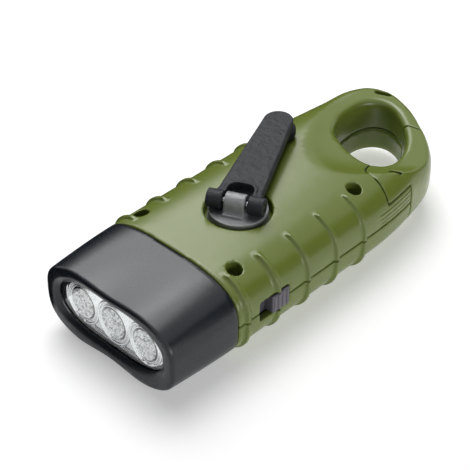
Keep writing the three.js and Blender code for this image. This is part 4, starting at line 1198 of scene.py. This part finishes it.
@dataclass
class Head:
    """Black bezel with its window, clear lens, mirror plate and three lamps."""

    case: Case
    front_half: float = 23.712
    front_above: float = 11.601
    front_below: float = 12.6
    waist: Spot = (1.0, 1.5)
    waist_spread: float = 0.62
    ease: float = 1.6
    edge: float = 1.0
    window: Spot = (20.995, 9.906)
    window_waist: float = 0.7
    squareness: float = 2.6
    front_wall: float = 1.2
    lens_size: Spot = (19.093, 7.605)
    lens_lip: float = 1.2
    lens: float = 0.8
    mirror_depth: float = 8.4
    pitch: float = 11.698
    cup: float = 5.701
    neck: float = 3.2
    lamp: float = 2.5
    lamp_height: float = 5.4
    optic: float = 4.0
    second_bead: float = 0.98
    cup_height: float = 1.13
    pebble: float = 0.85
    bead: float = 0.42
    bead_fillet: float = 0.1
    cup_rim: float = 0.12
    screw_setout: float = 6.6
    screw_bore: float = 1.1
    back_round: float = 0.3
    collar_wall: float = 1.8
    collar_ease: Spot = (1.0, 3.0)
    funnel_depth: float = 8.0
    window_round: float = 0.25
    lens_bevel: float = 0.15
    optic_gap: float = 0.1
    optic_depth: float = 0.5
    crown: float = 0.9
    row_share: float = 0.866
    face_back: float = 0.4
    lip_inset: float = 2.1
    lip: float = 0.3
    flange: float = 0.35
    flange_height: float = 1.0
    flange_bevel: float = 0.1
    step: float = 0.2

    def __post_init__(self) -> None:
        """Works out the stations behind the front face."""
        self.lens_back = self.case.front_x - self.front_wall - self.case.gap - self.lens
        self.mirror_front = self.lens_back - self.case.gap
        self.mirror_back = self.mirror_front - self.mirror_depth

    def oval(self, lattice: Lattice, half: Any, up: Any, waist: Any = 0.0, power: float = 3.0) -> Field:
        """A superellipse across the torch, drawn in at its waist.

        Args:
            lattice: where to draw it.
            half: half width, one or one for each x.
            up: half height, likewise.
            waist: how far the middle is drawn in, likewise.
            power: squareness.

        Returns:
            The form, endless along x.
        """
        q = np.abs(lattice.y) / (half + 0 * lattice.x)
        pinch = (1 + np.cos(math.pi * np.minimum(1, q / self.waist_spread))) / 2
        tall = up - waist * pinch
        t = np.abs(lattice.z - self.case.mid) / tall
        rho = np.maximum((q**power + t**power) ** (1 / power), 1e-3)
        pull = rho ** (1 - power) * np.hypot(q ** (power - 1) / half, t ** (power - 1) / tall)
        return Field((rho - 1) / np.maximum(pull, 1e-3))

    def bezel(self) -> None:
        """Makes the bezel with its collar inside the case."""
        case = self.case
        lattice = Lattice((case.junction_x - 7.5, -case.half - 1, -1.0),
                          (case.front_x + 1, case.half + 1, case.depth + 1), self.step)
        share = np.clip((lattice.x - case.junction_x) / case.head_length, 0, 1)
        above = lattice.z > case.mid
        half = case.half - (case.half - self.front_half) * share**self.ease
        up = case.mid - (case.mid - np.where(above, self.front_above, self.front_below)) * share**self.ease
        sink = np.where(above, 0, case.base_sink * (1 - share))
        outer = self.oval(lattice, half, up + sink, np.where(above, self.waist[0], self.waist[1]) * share)
        outer = outer.meet(Field(-lattice.z), case.base_round)
        solid = outer.meet(Field(case.junction_x + case.gap / 2 - lattice.x), self.back_round)
        solid = solid.meet(Field(lattice.x - case.front_x), self.edge)
        inset = case.wall + case.gap + self.collar_wall
        start, run = self.collar_ease
        ease = np.clip((lattice.x - case.junction_x - start) / run, 0, 1)
        depth = inset + (case.wall - inset) * ease
        room = self.oval(lattice, half - depth, up - depth)
        solid = solid - (room & Field(lattice.x - self.mirror_back))
        lip = self.lens_lip + case.gap
        seat = self.oval(lattice, self.lens_size[0] + lip, self.lens_size[1] + lip, 0.0, self.squareness)
        solid = solid - (seat & Field(lattice.x - case.front_x + self.front_wall))
        open_share = np.clip((lattice.x - case.front_x + self.front_wall) / self.front_wall, 0, 1.5)
        wide, tall = (a + (b - a) * open_share for a, b in zip(self.lens_size, self.window))
        funnel = self.oval(lattice, wide, tall, self.window_waist * (1 + open_share) / 2, self.squareness)
        solid = solid.less(funnel & Field(case.front_x - self.funnel_depth - lattice.x), self.window_round)
        ring = self.oval(lattice, case.half - case.wall - case.gap, case.mid - case.wall - case.gap)
        hollow = self.oval(lattice, case.half - inset, case.mid - inset)
        span = np.maximum(case.junction_x - case.collar_length - lattice.x, lattice.x - case.junction_x - 1)
        collar = (ring - hollow) & Field(span)
        for spot in case.screw_spots()[:2]:
            collar = collar - lattice.disc(spot, case.column + case.gap)
        tall, notch_end = case.slot_size[1], case.junction_x - case.wall - case.gap / 2
        collar = collar - lattice.box((case.junction_x - 8, case.screw_near, case.slot_z - tall - case.gap),
                                      (notch_end, case.width, case.slot_z + tall))
        solid = solid | collar
        settle("head_bezel_skin", lattice.skin(solid, 0.1), Look.BEZEL, "case", ["head_bezel"])

    def rim(self, half: float, tall: float, count: int) -> Array:
        """Points round a superellipse, as rows of y and z about the middle.

        Args:
            half: half width.
            tall: half height.
            count: how many points.

        Returns:
            The points.
        """
        turns = np.linspace(0, 2 * math.pi, count, endpoint=False)
        power = 2 / self.squareness
        c, s = np.cos(turns), np.sin(turns)
        across, up = half * np.sign(c) * np.abs(c) ** power, tall * np.sign(s) * np.abs(s) ** power
        return np.stack([across, up], axis=1)

    def plate(self, x0: float, x1: float, half: float, tall: float, bevel: float) -> Skin:
        """A flat plate of the window's shape with eased edges.

        Args:
            x0: its back.
            x1: its front.
            half: half width.
            tall: half height.
            bevel: size of the eased edge.

        Returns:
            Its surface.
        """
        rows = [(x0, bevel), (x0 + bevel, 0.0), (x1 - bevel, 0.0), (x1, bevel)]
        count = 160
        points = [np.column_stack([np.full(count, x), self.rim(half - inset, tall - inset, count)])
                  for x, inset in rows]
        points = np.vstack(points) + np.array([0, 0, self.case.mid])
        steps = [(i, (i + 1) % count) for i in range(count)]
        quads = [(r * count + i, r * count + k, (r + 1) * count + k, (r + 1) * count + i)
                 for r in range(3) for i, k in steps]
        centres = np.array([[x0, 0, self.case.mid], [x1, 0, self.case.mid]])
        fans = [(len(points), k, i) for i, k in steps]
        fans += [(len(points) + 1, 3 * count + i, 3 * count + k) for i, k in steps]
        return Skin(np.vstack([points, centres]), None, [np.array(fans), np.array(quads)])

    def glass(self) -> None:
        """Makes the lens and the three pebbled discs behind it."""
        half, tall = (v + self.lens_lip for v in self.lens_size)
        lens = self.plate(self.lens_back, self.lens_back + self.lens, half, tall, self.lens_bevel)
        settle("front_lens_skin", lens, Look.LENS, "case", ["front_lens"])
        x1 = self.lens_back - self.optic_gap
        x0 = x1 - self.optic_depth
        for name, side in (("right", -1), ("centre", 0), ("left", 1)):
            y = side * self.pitch
            up = self.optic * self.cup_height + 0.5
            lattice = Lattice((x0 - 0.5, y - self.optic - 0.5, self.case.mid - up),
                              (x1 + 0.4, y + self.optic + 0.5, self.case.mid + up), 0.08)
            across, up = lattice.y - y, lattice.z - self.case.mid
            row = np.round(up / (self.pebble * self.row_share))
            shift = (np.abs(row) % 2) * self.pebble / 2
            off_y = across - shift - np.round((across - shift) / self.pebble) * self.pebble
            off = np.hypot(off_y, up - row * self.pebble * self.row_share) / self.pebble
            crown = x1 - self.crown * off**2 * self.pebble
            solid = Field(np.hypot(across, up / self.cup_height) - self.optic)
            solid = solid.meet(Field(np.maximum(lattice.x - crown, x0 - lattice.x)), 0.1)
            settle(f"optic_{name}", lattice.skin(solid), Look.OPTIC, "case")

    def mirror(self) -> None:
        """Makes the mirror plate with its three beaded cups."""
        face = self.mirror_front - self.face_back
        half, tall = (v + self.lens_lip for v in self.lens_size)
        lattice = Lattice((self.mirror_back - 1, -half - 1, self.case.mid - tall - 1),
                          (self.mirror_front + 1, half + 1, self.case.mid + tall + 1), 0.15)
        solid = self.oval(lattice, half, tall, 0.0, self.squareness)
        rim = solid.grown(-self.lip_inset)
        solid = solid & Field(np.maximum(self.mirror_back - lattice.x, lattice.x - face))
        lip = Field(np.hypot(rim.values, lattice.x - face) - self.lip)
        solid = solid.join(lip, self.bead_fillet)
        share = np.clip((lattice.x - self.mirror_back) / self.mirror_depth, 0, 1.2)
        bowl = self.neck + (self.cup - self.second_bead - self.bead - self.neck) * np.sqrt(share)
        for side in (-1, 0, 1):
            off = np.hypot(lattice.y - side * self.pitch, (lattice.z - self.case.mid) / self.cup_height)
            for inset, size in ((0.0, self.bead), (self.second_bead, 0.75 * self.bead)):
                bead = Field(np.hypot(off - self.cup + inset, lattice.x - face) - size)
                solid = solid.join(bead, self.bead_fillet)
            solid = solid.less(Field(off - bowl), self.cup_rim)
        for side in (-1, 1):
            off = np.hypot(lattice.y - side * (self.pitch + self.screw_setout), lattice.z - self.case.mid)
            deep = lattice.x - self.mirror_front + self.case.wall
            solid = solid - Field(np.maximum(off - self.screw_bore, deep))
        settle("reflector_skin", lattice.skin(solid, 0.0), Look.MIRROR, "case", ["reflector"])

    def lamps(self) -> None:
        """Makes the three lamps with their domes and flanges."""
        base = self.mirror_back
        flange, lid = self.lamp + self.flange, base + self.flange_height
        for name, side in (("led_right", -1), ("led_centre", 0), ("led_left", 1)):
            dome = [(self.lamp * math.cos(t), base + self.lamp_height + self.lamp * math.sin(t))
                    for t in np.linspace(0, math.pi / 2, 14)]
            body = lathe([(0, base), (flange, base), (flange, lid - self.flange_bevel),
                          (flange - self.flange_bevel, lid), (self.lamp, lid), *dome[:-1],
                          (0, dome[-1][1])], 48, along_x=True)
            body = Skin(body.points + np.array([0, side * self.pitch, self.case.mid]), None, body.faces)
            settle(f"{name}_skin", body, Look.LAMP, "case", [name])

    def build(self) -> None:
        """Makes the whole head."""
        self.bezel()
        self.glass()
        self.mirror()
        self.lamps()
        for name in ("led_screw_1", "led_screw_2"):
            Look.STEEL.dress(frame["nodes"][name])
        Look.BOARD.dress(frame["nodes"]["led_board"])


# Crank


@dataclass
class Crank:
    """Hub, folding arm and turning knob, drawn with x along the arm."""

    case: Case
    angle: float = 205.3
    disc: float = 8.2
    flange: float = 8.4
    flange_height: float = 1.0
    disc_top: float = 26.3
    shaft: float = 3.0
    hinge_back: float = 1.8
    hinge_z: float = 29.2
    barrel: float = 2.6
    barrel_length: float = 16.0
    knuckle: float = 5.7
    pin: float = 0.9
    arm_length: float = 38.016
    root_half: float = 6.2
    tip_half: float = 4.3
    root_top: float = 30.6
    tip_top: float = 31.6
    arm_depth: float = 2.5
    skin_depth: float = 1.2
    knob: float = 5.1
    knob_base: float = 26.35
    knob_top: float = 28.9
    gear_base: float = 17.9
    flat_share: float = 0.75
    flat_top: float = 20.4
    flange_round: float = 0.2
    disc_round: float = 0.35
    hub_reach: float = 9.6
    hub_bore: float = 1.3
    hub_cap: float = 2.2
    toe: float = 1.2
    fillet: float = 0.3
    arm_round: float = 0.55
    hollow_start: float = 5.5
    web_run: float = 0.8
    web_fillet: float = 0.4
    window_run: float = 4.0
    window_over: float = 0.5
    lip_off: float = 0.45
    lip_half: float = 0.4
    lip_rise: float = 0.22
    lip_sink: float = 1.0
    lip_fillet: float = 0.15
    tip_bore: float = 1.2
    knob_seat: float = 1.3
    knob_well: float = 1.2
    knob_round: float = 0.6
    pin_bevel: float = 0.15
    step: float = 0.14

    def __post_init__(self) -> None:
        """Works out where the hinge and the tip lie."""
        self.hinge_x = -self.hinge_back
        self.tip_x = self.hinge_x + self.arm_length

    def seat(self, skin: Skin) -> Skin:
        """Turns and moves a piece from the crank's frame to the torch's."""
        return skin.moved(self.angle, (self.case.hub[0], self.case.hub[1], 0.0))

    def tube(self, lattice: Lattice, radius: float, y0: float, y1: float, ease: float = 0.25) -> Field:
        """A cylinder about the hinge between two places across the arm."""
        round_it = Field(np.hypot(lattice.x - self.hinge_x, lattice.z - self.hinge_z) - radius)
        return round_it.meet(Field(np.maximum(y0 - lattice.y, lattice.y - y1)), ease)

    def hub(self) -> None:
        """Makes the hub disc with its hinge ear and shaft."""
        reach = self.hub_reach
        lattice = Lattice((-reach, -reach, self.gear_base - 0.5), (reach, reach, 32.5), self.step)
        base = self.case.recess_floor + self.case.gap
        flat = Field(self.shaft * self.flat_share - lattice.x) & lattice.layer(0.0, self.flat_top)
        shaft = lattice.drum((0, 0), self.shaft, self.gear_base, base + 1) - flat
        flange = lattice.layer(base, base + self.flange_height)
        flange = lattice.disc((0, 0), self.flange).meet(flange, self.flange_round)
        disc = lattice.disc((0, 0), self.disc).meet(lattice.layer(base, self.disc_top), self.disc_round)
        half = self.knuckle / 2
        ear = self.tube(lattice, self.barrel, -half, half)
        foot = lattice.box((self.hinge_x - self.barrel, -half, self.disc_top - 1),
                           (self.hinge_x + self.barrel, half, self.hinge_z), 0.2)
        toe = lattice.box((self.hinge_x - self.barrel - self.toe, -half, self.disc_top - 1),
                          (self.hinge_x, half, self.disc_top + 1), 0.3)
        solid = (shaft | flange | disc).join(ear | foot, self.fillet).join(toe, self.fillet)
        solid = solid - self.tube(lattice, self.pin + self.case.gap, -10, 10, 0.01)
        solid = solid - lattice.drum((0, 0), self.hub_bore, 0, self.disc_top - self.hub_cap)
        skin = self.seat(lattice.skin(solid, 0.05))
        settle("crank_hub_skin", skin, Look.HUB, "crank", ["crank_hub"])

    def arm(self) -> None:
        """Makes the folding arm with its window and hollow underside."""
        lattice = Lattice((self.hinge_x - 3.4, -9, 25.8),
                          (self.tip_x + self.tip_half + 0.8, 9, 32.6), self.step)
        start = self.hinge_x + self.barrel
        share = (lattice.x - start) / (self.tip_x - start)
        top = self.root_top + (self.tip_top - self.root_top) * share
        lean = (self.root_half - self.tip_half) / (self.tip_x - start)
        half = self.root_half - lean * (lattice.x - start)
        side = np.where(lattice.x < self.tip_x, (np.abs(lattice.y) - half) / math.hypot(1, lean),
                        np.hypot(lattice.x - self.tip_x, lattice.y) - self.tip_half)
        outline = Field(np.maximum(side, start - 1 - lattice.x))
        crown = Field(lattice.z - top)
        plate = outline.meet(crown, self.arm_round) & Field(top - self.arm_depth - lattice.z)
        inner = outline.grown(-self.skin_depth) & Field(lattice.z - top + self.skin_depth)
        plate = plate - (inner & Field(start + self.hollow_start - lattice.x))
        gap = self.knuckle / 2 + self.case.gap
        ears = self.tube(lattice, self.barrel, -self.barrel_length / 2, -gap)
        ears = ears | self.tube(lattice, self.barrel, gap, self.barrel_length / 2)
        webs = lattice.box((self.hinge_x, -self.root_half, self.root_top - self.arm_depth),
                           (start + self.web_run, self.root_half, self.root_top), 0.3)
        solid = plate.join(ears | webs, self.web_fillet)
        end, wide = start + self.window_run, gap + self.window_over
        back = np.cbrt(np.maximum(lattice.x - end + wide, 0) ** 3 + np.abs(lattice.y) ** 3) - wide
        window = Field(np.maximum(back, np.abs(lattice.y) - wide) + 0 * lattice.z)
        lip = Field(np.abs(window.values - self.lip_off) - self.lip_half)
        lip = lip & Field(np.maximum(lattice.z - top - self.lip_rise, top - self.lip_sink - lattice.z))
        lip = lip & Field(self.hinge_x + self.barrel + self.case.gap - lattice.x)
        solid = solid.join(lip, self.lip_fillet)
        solid = solid.less(window, self.lip_fillet)
        solid = solid - self.tube(lattice, self.pin + self.case.gap, -20, 20, 0.01)
        solid = solid - lattice.drum((self.tip_x, 0), self.tip_bore, 0, self.tip_top - 1)
        skin = self.seat(lattice.skin(solid, 0.05))
        settle("crank_arm_skin", skin, Look.CRANK, "arm", ["crank_arm"])

    def knob_pieces(self) -> None:
        """Makes the knob under the tip, its screw and the hinge pin."""
        bore, base, top, r, e = self.tip_bore, self.knob_base, self.knob_top, self.knob, self.knob_round
        seat, well = base + self.knob_seat, bore + self.knob_well
        ease = [(r - e + e * math.sin(t), top - e + e * math.cos(t)) for t in np.linspace(math.pi / 2, 0, 7)]
        foot = [(r - e + e * math.sin(t), base + e - e * math.cos(t)) for t in np.linspace(0, math.pi / 2, 7)]
        knob = lathe([(bore, seat), (well, seat), (well, base), *foot, *ease, (bore, top), (bore, seat)], 72)
        knob = Skin(knob.points + np.array([self.tip_x, 0, 0]), None, knob.faces)
        settle("crank_knob_skin", self.seat(knob), Look.KNOB, "knob", ["crank_knob"])
        end, bevel = self.barrel_length / 2 - self.case.gap, self.pin_bevel
        rod = lathe([(0, -end), (self.pin - bevel, -end), (self.pin, -end + bevel), (self.pin, end - bevel),
                     (self.pin - bevel, end), (0, end)], 32)
        at = rod.points[:, [0, 2, 1]] + np.array([self.hinge_x, 0, self.hinge_z])
        settle("hinge_pin_skin", self.seat(Skin(at, None, rod.faces)), Look.STEEL,
               str(frame["nodes"]["hinge_pin"]["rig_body"]), ["hinge_pin"])

    def build(self) -> None:
        """Makes the whole crank."""
        self.hub()
        self.arm()
        self.knob_pieces()
        for name, look in (("knob_screw", Look.STEEL), ("hub_screw", Look.STEEL), ("hub_washer", Look.STEEL),
                           ("crank_gear", Look.NYLON)):
            look.dress(frame["nodes"][name])


@dataclass
class SlideSwitch:
    """The ribbed slide knob in its slot."""

    case: Case
    knob_length: float = 6.4
    travel: float = 4.0
    flange_y: float = 21.5
    ribs: int = 4
    clear: float = 0.4
    proud: float = 0.35
    flange_lap: float = 0.7
    flange_depth: float = 0.5
    flange_ends: Spot = (1.0, 0.5)
    rib_half: float = 0.45
    rib_inset: float = 0.15
    rib_root: float = 0.5
    rib_fillet: float = 0.12

    def build(self) -> None:
        """Makes the knob with its flange and its finger ribs."""
        case = self.case
        x0 = case.slot_x - case.slot_size[0] / 2 + self.clear
        x1 = x0 + self.knob_length
        tall = case.slot_size[1] / 2 - self.clear
        face = case.half + self.proud
        lattice = Lattice((x0 - 1.6, self.flange_y - 0.5, case.slot_z - 4.5),
                          (x1 + self.travel + 1.1, face + 1, case.slot_z + 4.5), 0.1)
        solid = lattice.box((x0, self.flange_y, case.slot_z - tall), (x1, face, case.slot_z + tall), 0.25)
        before, after = self.flange_ends
        reach = tall + self.flange_lap
        low = (x0 - before, self.flange_y, case.slot_z - reach)
        high = (x1 + self.travel + after, self.flange_y + self.flange_depth, case.slot_z + reach)
        solid = solid | lattice.box(low, high, 0.1)
        pitch = self.knob_length / self.ribs
        for i in range(self.ribs):
            x = x0 + pitch * (i + 0.5)
            low = (x - self.rib_half, face - self.rib_root, case.slot_z - tall + self.rib_inset)
            high = (x + self.rib_half, face + self.proud, case.slot_z + tall - self.rib_inset)
            solid = solid.join(lattice.box(low, high, 0.3), self.rib_fillet)
        skin = lattice.skin(solid, 0.05)
        settle("switch_knob_skin", skin, Look.SLIDER, "switch", ["switch_knob"])


INNER = {
    Look.STEEL: ("case_screw_1", "case_screw_2", "case_screw_3", "case_screw_4", "switch_body", "idler_pin_1",
                 "idler_pin_2", "gearbox_screw_1", "gearbox_screw_2", "gearbox_screw_3", "generator_can",
                 "stator_core"),
    Look.CELL_CAN: ("battery_cell_1", "battery_cell_2"),
    Look.TRAY: ("battery_holder", "gearbox_plate"),
    Look.NYLON: ("idler_gear_1", "idler_gear_2"),
    Look.BRASS: ("rotor_pinion",),
    Look.COPPER: ("stator_coil",),
    Look.MAGNET: ("rotor_magnet",),
    Look.BOARD: ("main_board",),
    Look.SOLAR: ("solar_cell",),
    Look.WINDOW: ("solar_window",),
}


# Studio


@dataclass
class Studio:
    """Floor, lights and camera at the photograph's viewing angle."""

    target: Point = (15.8, -0.8, 15.2)
    azimuth: float = 43.7
    elevation: float = 38.45
    distance: float = 400.1
    lens: float = 112.0
    key: float = 3.5
    high: float = 4.2
    low: float = 3.6
    sky: float = 0.1
    glow: float = 3.0
    glow_shown: float = 0.13
    glow_bounced: float = 0.14
    floor_near: float = 220.0
    floor_fade: float = 300.0

    def towards(self, azimuth: float, elevation: float) -> Vector:
        """A direction from its angle round the torch and its height."""
        a, e = math.radians(azimuth), math.radians(elevation)
        return Vector((math.cos(e) * math.cos(a), math.cos(e) * math.sin(a), math.sin(e)))

    def camera(self) -> None:
        """Makes the camera."""
        data = bpy.data.cameras.new("camera")
        data.lens = self.lens
        data.sensor_width = 36.0
        data.clip_start = 0.01
        camera = bpy.data.objects.new("camera", data)
        way = self.towards(self.azimuth, self.elevation)
        camera.location = (Vector(self.target) + way * self.distance) * MM
        camera.rotation_mode = "QUATERNION"
        camera.rotation_quaternion = (-way).to_track_quat("-Z", "Y")
        bpy.context.scene.collection.objects.link(camera)
        bpy.context.scene.camera = camera

    def panel(
        self, name: str, azimuth: float, elevation: float, away: float, size: Spot, glow: float
    ) -> None:
        """Makes one soft rectangular light that faces the torch.

        Args:
            name: its name.
            azimuth: the side of the torch where it stands.
            elevation: its height over the torch, in degrees.
            away: how far off it stands.
            size: its width and height.
            glow: how bright its face is.
        """
        data = bpy.data.lights.new(name, "AREA")
        data.shape = "RECTANGLE"
        data.size, data.size_y = size[0] * MM, size[1] * MM
        data.energy = glow * math.pi * data.size * data.size_y
        light = bpy.data.objects.new(name, data)
        way = self.towards(azimuth, elevation)
        light.location = (Vector(self.target) + way * away) * MM
        light.rotation_mode = "QUATERNION"
        light.rotation_quaternion = (-way).to_track_quat("-Z", "Y")
        bpy.context.scene.collection.objects.link(light)

    def card(
        self, name: str, azimuth: float, near: Spot, far: Spot, half: float, shades: bool = True
    ) -> None:
        """Makes a black card that the camera doesn't see.

        Args:
            name: its name.
            azimuth: the side of the torch where it stands.
            near: distance and height of its lower edge.
            far: distance and height of its upper edge.
            half: half its width.
            shades: whether it takes soft light away too.
        """
        out = self.towards(azimuth, 0.0)
        across = Vector((-out.y, out.x, 0.0))
        rows = [out * away + Vector((0.0, 0.0, height)) for away, height in (near, far)]
        order = zip((*rows, *rows[::-1]), (-1, -1, 1, 1))
        corners = [(row + across * side * half) * MM for row, side in order]
        mesh = bpy.data.meshes.new(name)
        mesh.from_pydata([tuple(c) for c in corners], [], [(0, 1, 2, 3)])
        card = bpy.data.objects.new(name, mesh)
        card.visible_camera = card.visible_shadow = False
        card.visible_diffuse = shades
        bpy.context.scene.collection.objects.link(card)
        graph = Graph(name)
        mesh.materials.append(graph.finish(graph.node("ShaderNodeBsdfDiffuse", None, {
            "Color": (0.004, 0.004, 0.004, 1.0)})))

    def seen(self, graph: Graph) -> Wire:
        """One for rays that look at the background, straight, mirrored or through glass.

        Args:
            graph: the node tree to add to.

        Returns:
            The mark, 1 or 0.
        """
        path = [graph.node("ShaderNodeLightPath", None, None, out=name)
                for name in ("Is Camera Ray", "Is Glossy Ray", "Is Transmission Ray")]
        return path[0].largest(path[1]).largest(path[2])

    def floor(self) -> None:
        """Makes the pale floor, which shows white but keeps the torch's shadow."""
        size = 4.0
        mesh = bpy.data.meshes.new("floor")
        corners = [(-size, -size, 0.0), (size, -size, 0.0), (size, size, 0.0), (-size, size, 0.0)]
        mesh.from_pydata(corners, [], [(0, 1, 2, 3)])
        floor = bpy.data.objects.new("floor", mesh)
        floor.location.z = -0.02 * MM
        bpy.context.scene.collection.objects.link(floor)
        graph = Graph("pale_floor")
        paint = graph.node("ShaderNodeBsdfDiffuse", None, {"Color": (0.9, 0.9, 0.9, 1.0)})
        glow = graph.node("ShaderNodeEmission", None, {"Color": (1.0, 1.0, 1.0, 1.0), "Strength": self.glow})
        away = graph.node("ShaderNodeVectorMath", {"operation": "LENGTH"}, {0: graph.where()}, out="Value")
        far = 1.0 - (1.0 - ((away - self.floor_near) / self.floor_fade).largest(0.0)).largest(0.0)
        shown = self.glow_shown + (1.0 / self.glow - self.glow_shown) * far
        share = self.glow_bounced + (shown - self.glow_bounced) * self.seen(graph)
        mixed = graph.node("ShaderNodeMixShader", None, {0: share, 1: paint, 2: glow})
        mesh.materials.append(graph.finish(mixed))

    def world(self) -> None:
        """Makes the white surroundings."""
        world = bpy.data.worlds.new("studio")
        bpy.context.scene.world = world
        graph = Graph(world)
        strength = self.sky + (1.0 - self.sky) * self.seen(graph)
        white = {"Color": (1.0, 1.0, 1.0, 1.0), "Strength": strength}
        light = graph.node("ShaderNodeBackground", None, white)
        graph.node("ShaderNodeOutputWorld", None, {"Surface": light})

    def build(self) -> None:
        """Makes the whole studio."""
        self.camera()
        self.floor()
        self.world()
        self.panel("key", 241.0, 47.0, 900.0, (600.0, 640.0), self.key)
        self.panel("high", 230.0, 72.0, 760.0, (500.0, 500.0), self.high)
        self.panel("low", 92.0, 8.0, 700.0, (700.0, 200.0), self.low)
        self.card("side_card", 135.0, (500.0, 0.0), (500.0, 440.0), 320.0)
        self.card("front_card", -38.0, (500.0, 0.0), (500.0, 430.0), 300.0)
        self.card("back_card", 225.0, (520.0, 0.0), (520.0, 210.0), 420.0)
        self.card("low_card", 270.0, (28.0, 0.3), (240.0, 34.0), 220.0, False)
        bpy.context.scene.view_settings.view_transform = "Standard"


def main() -> None:
    """Builds the torch and its studio."""
    logging.basicConfig(level=logging.INFO, format="%(name)s %(message)s")
    case = Case()
    gate = Gate(case)
    Studio().build()
    case.build(gate)
    gate.build()
    Head(case).build()
    Crank(case).build()
    SlideSwitch(case).build()
    for look, names in INNER.items():
        for name in names:
            look.dress(frame["nodes"][name])


if __name__ == "__main__":
    main()
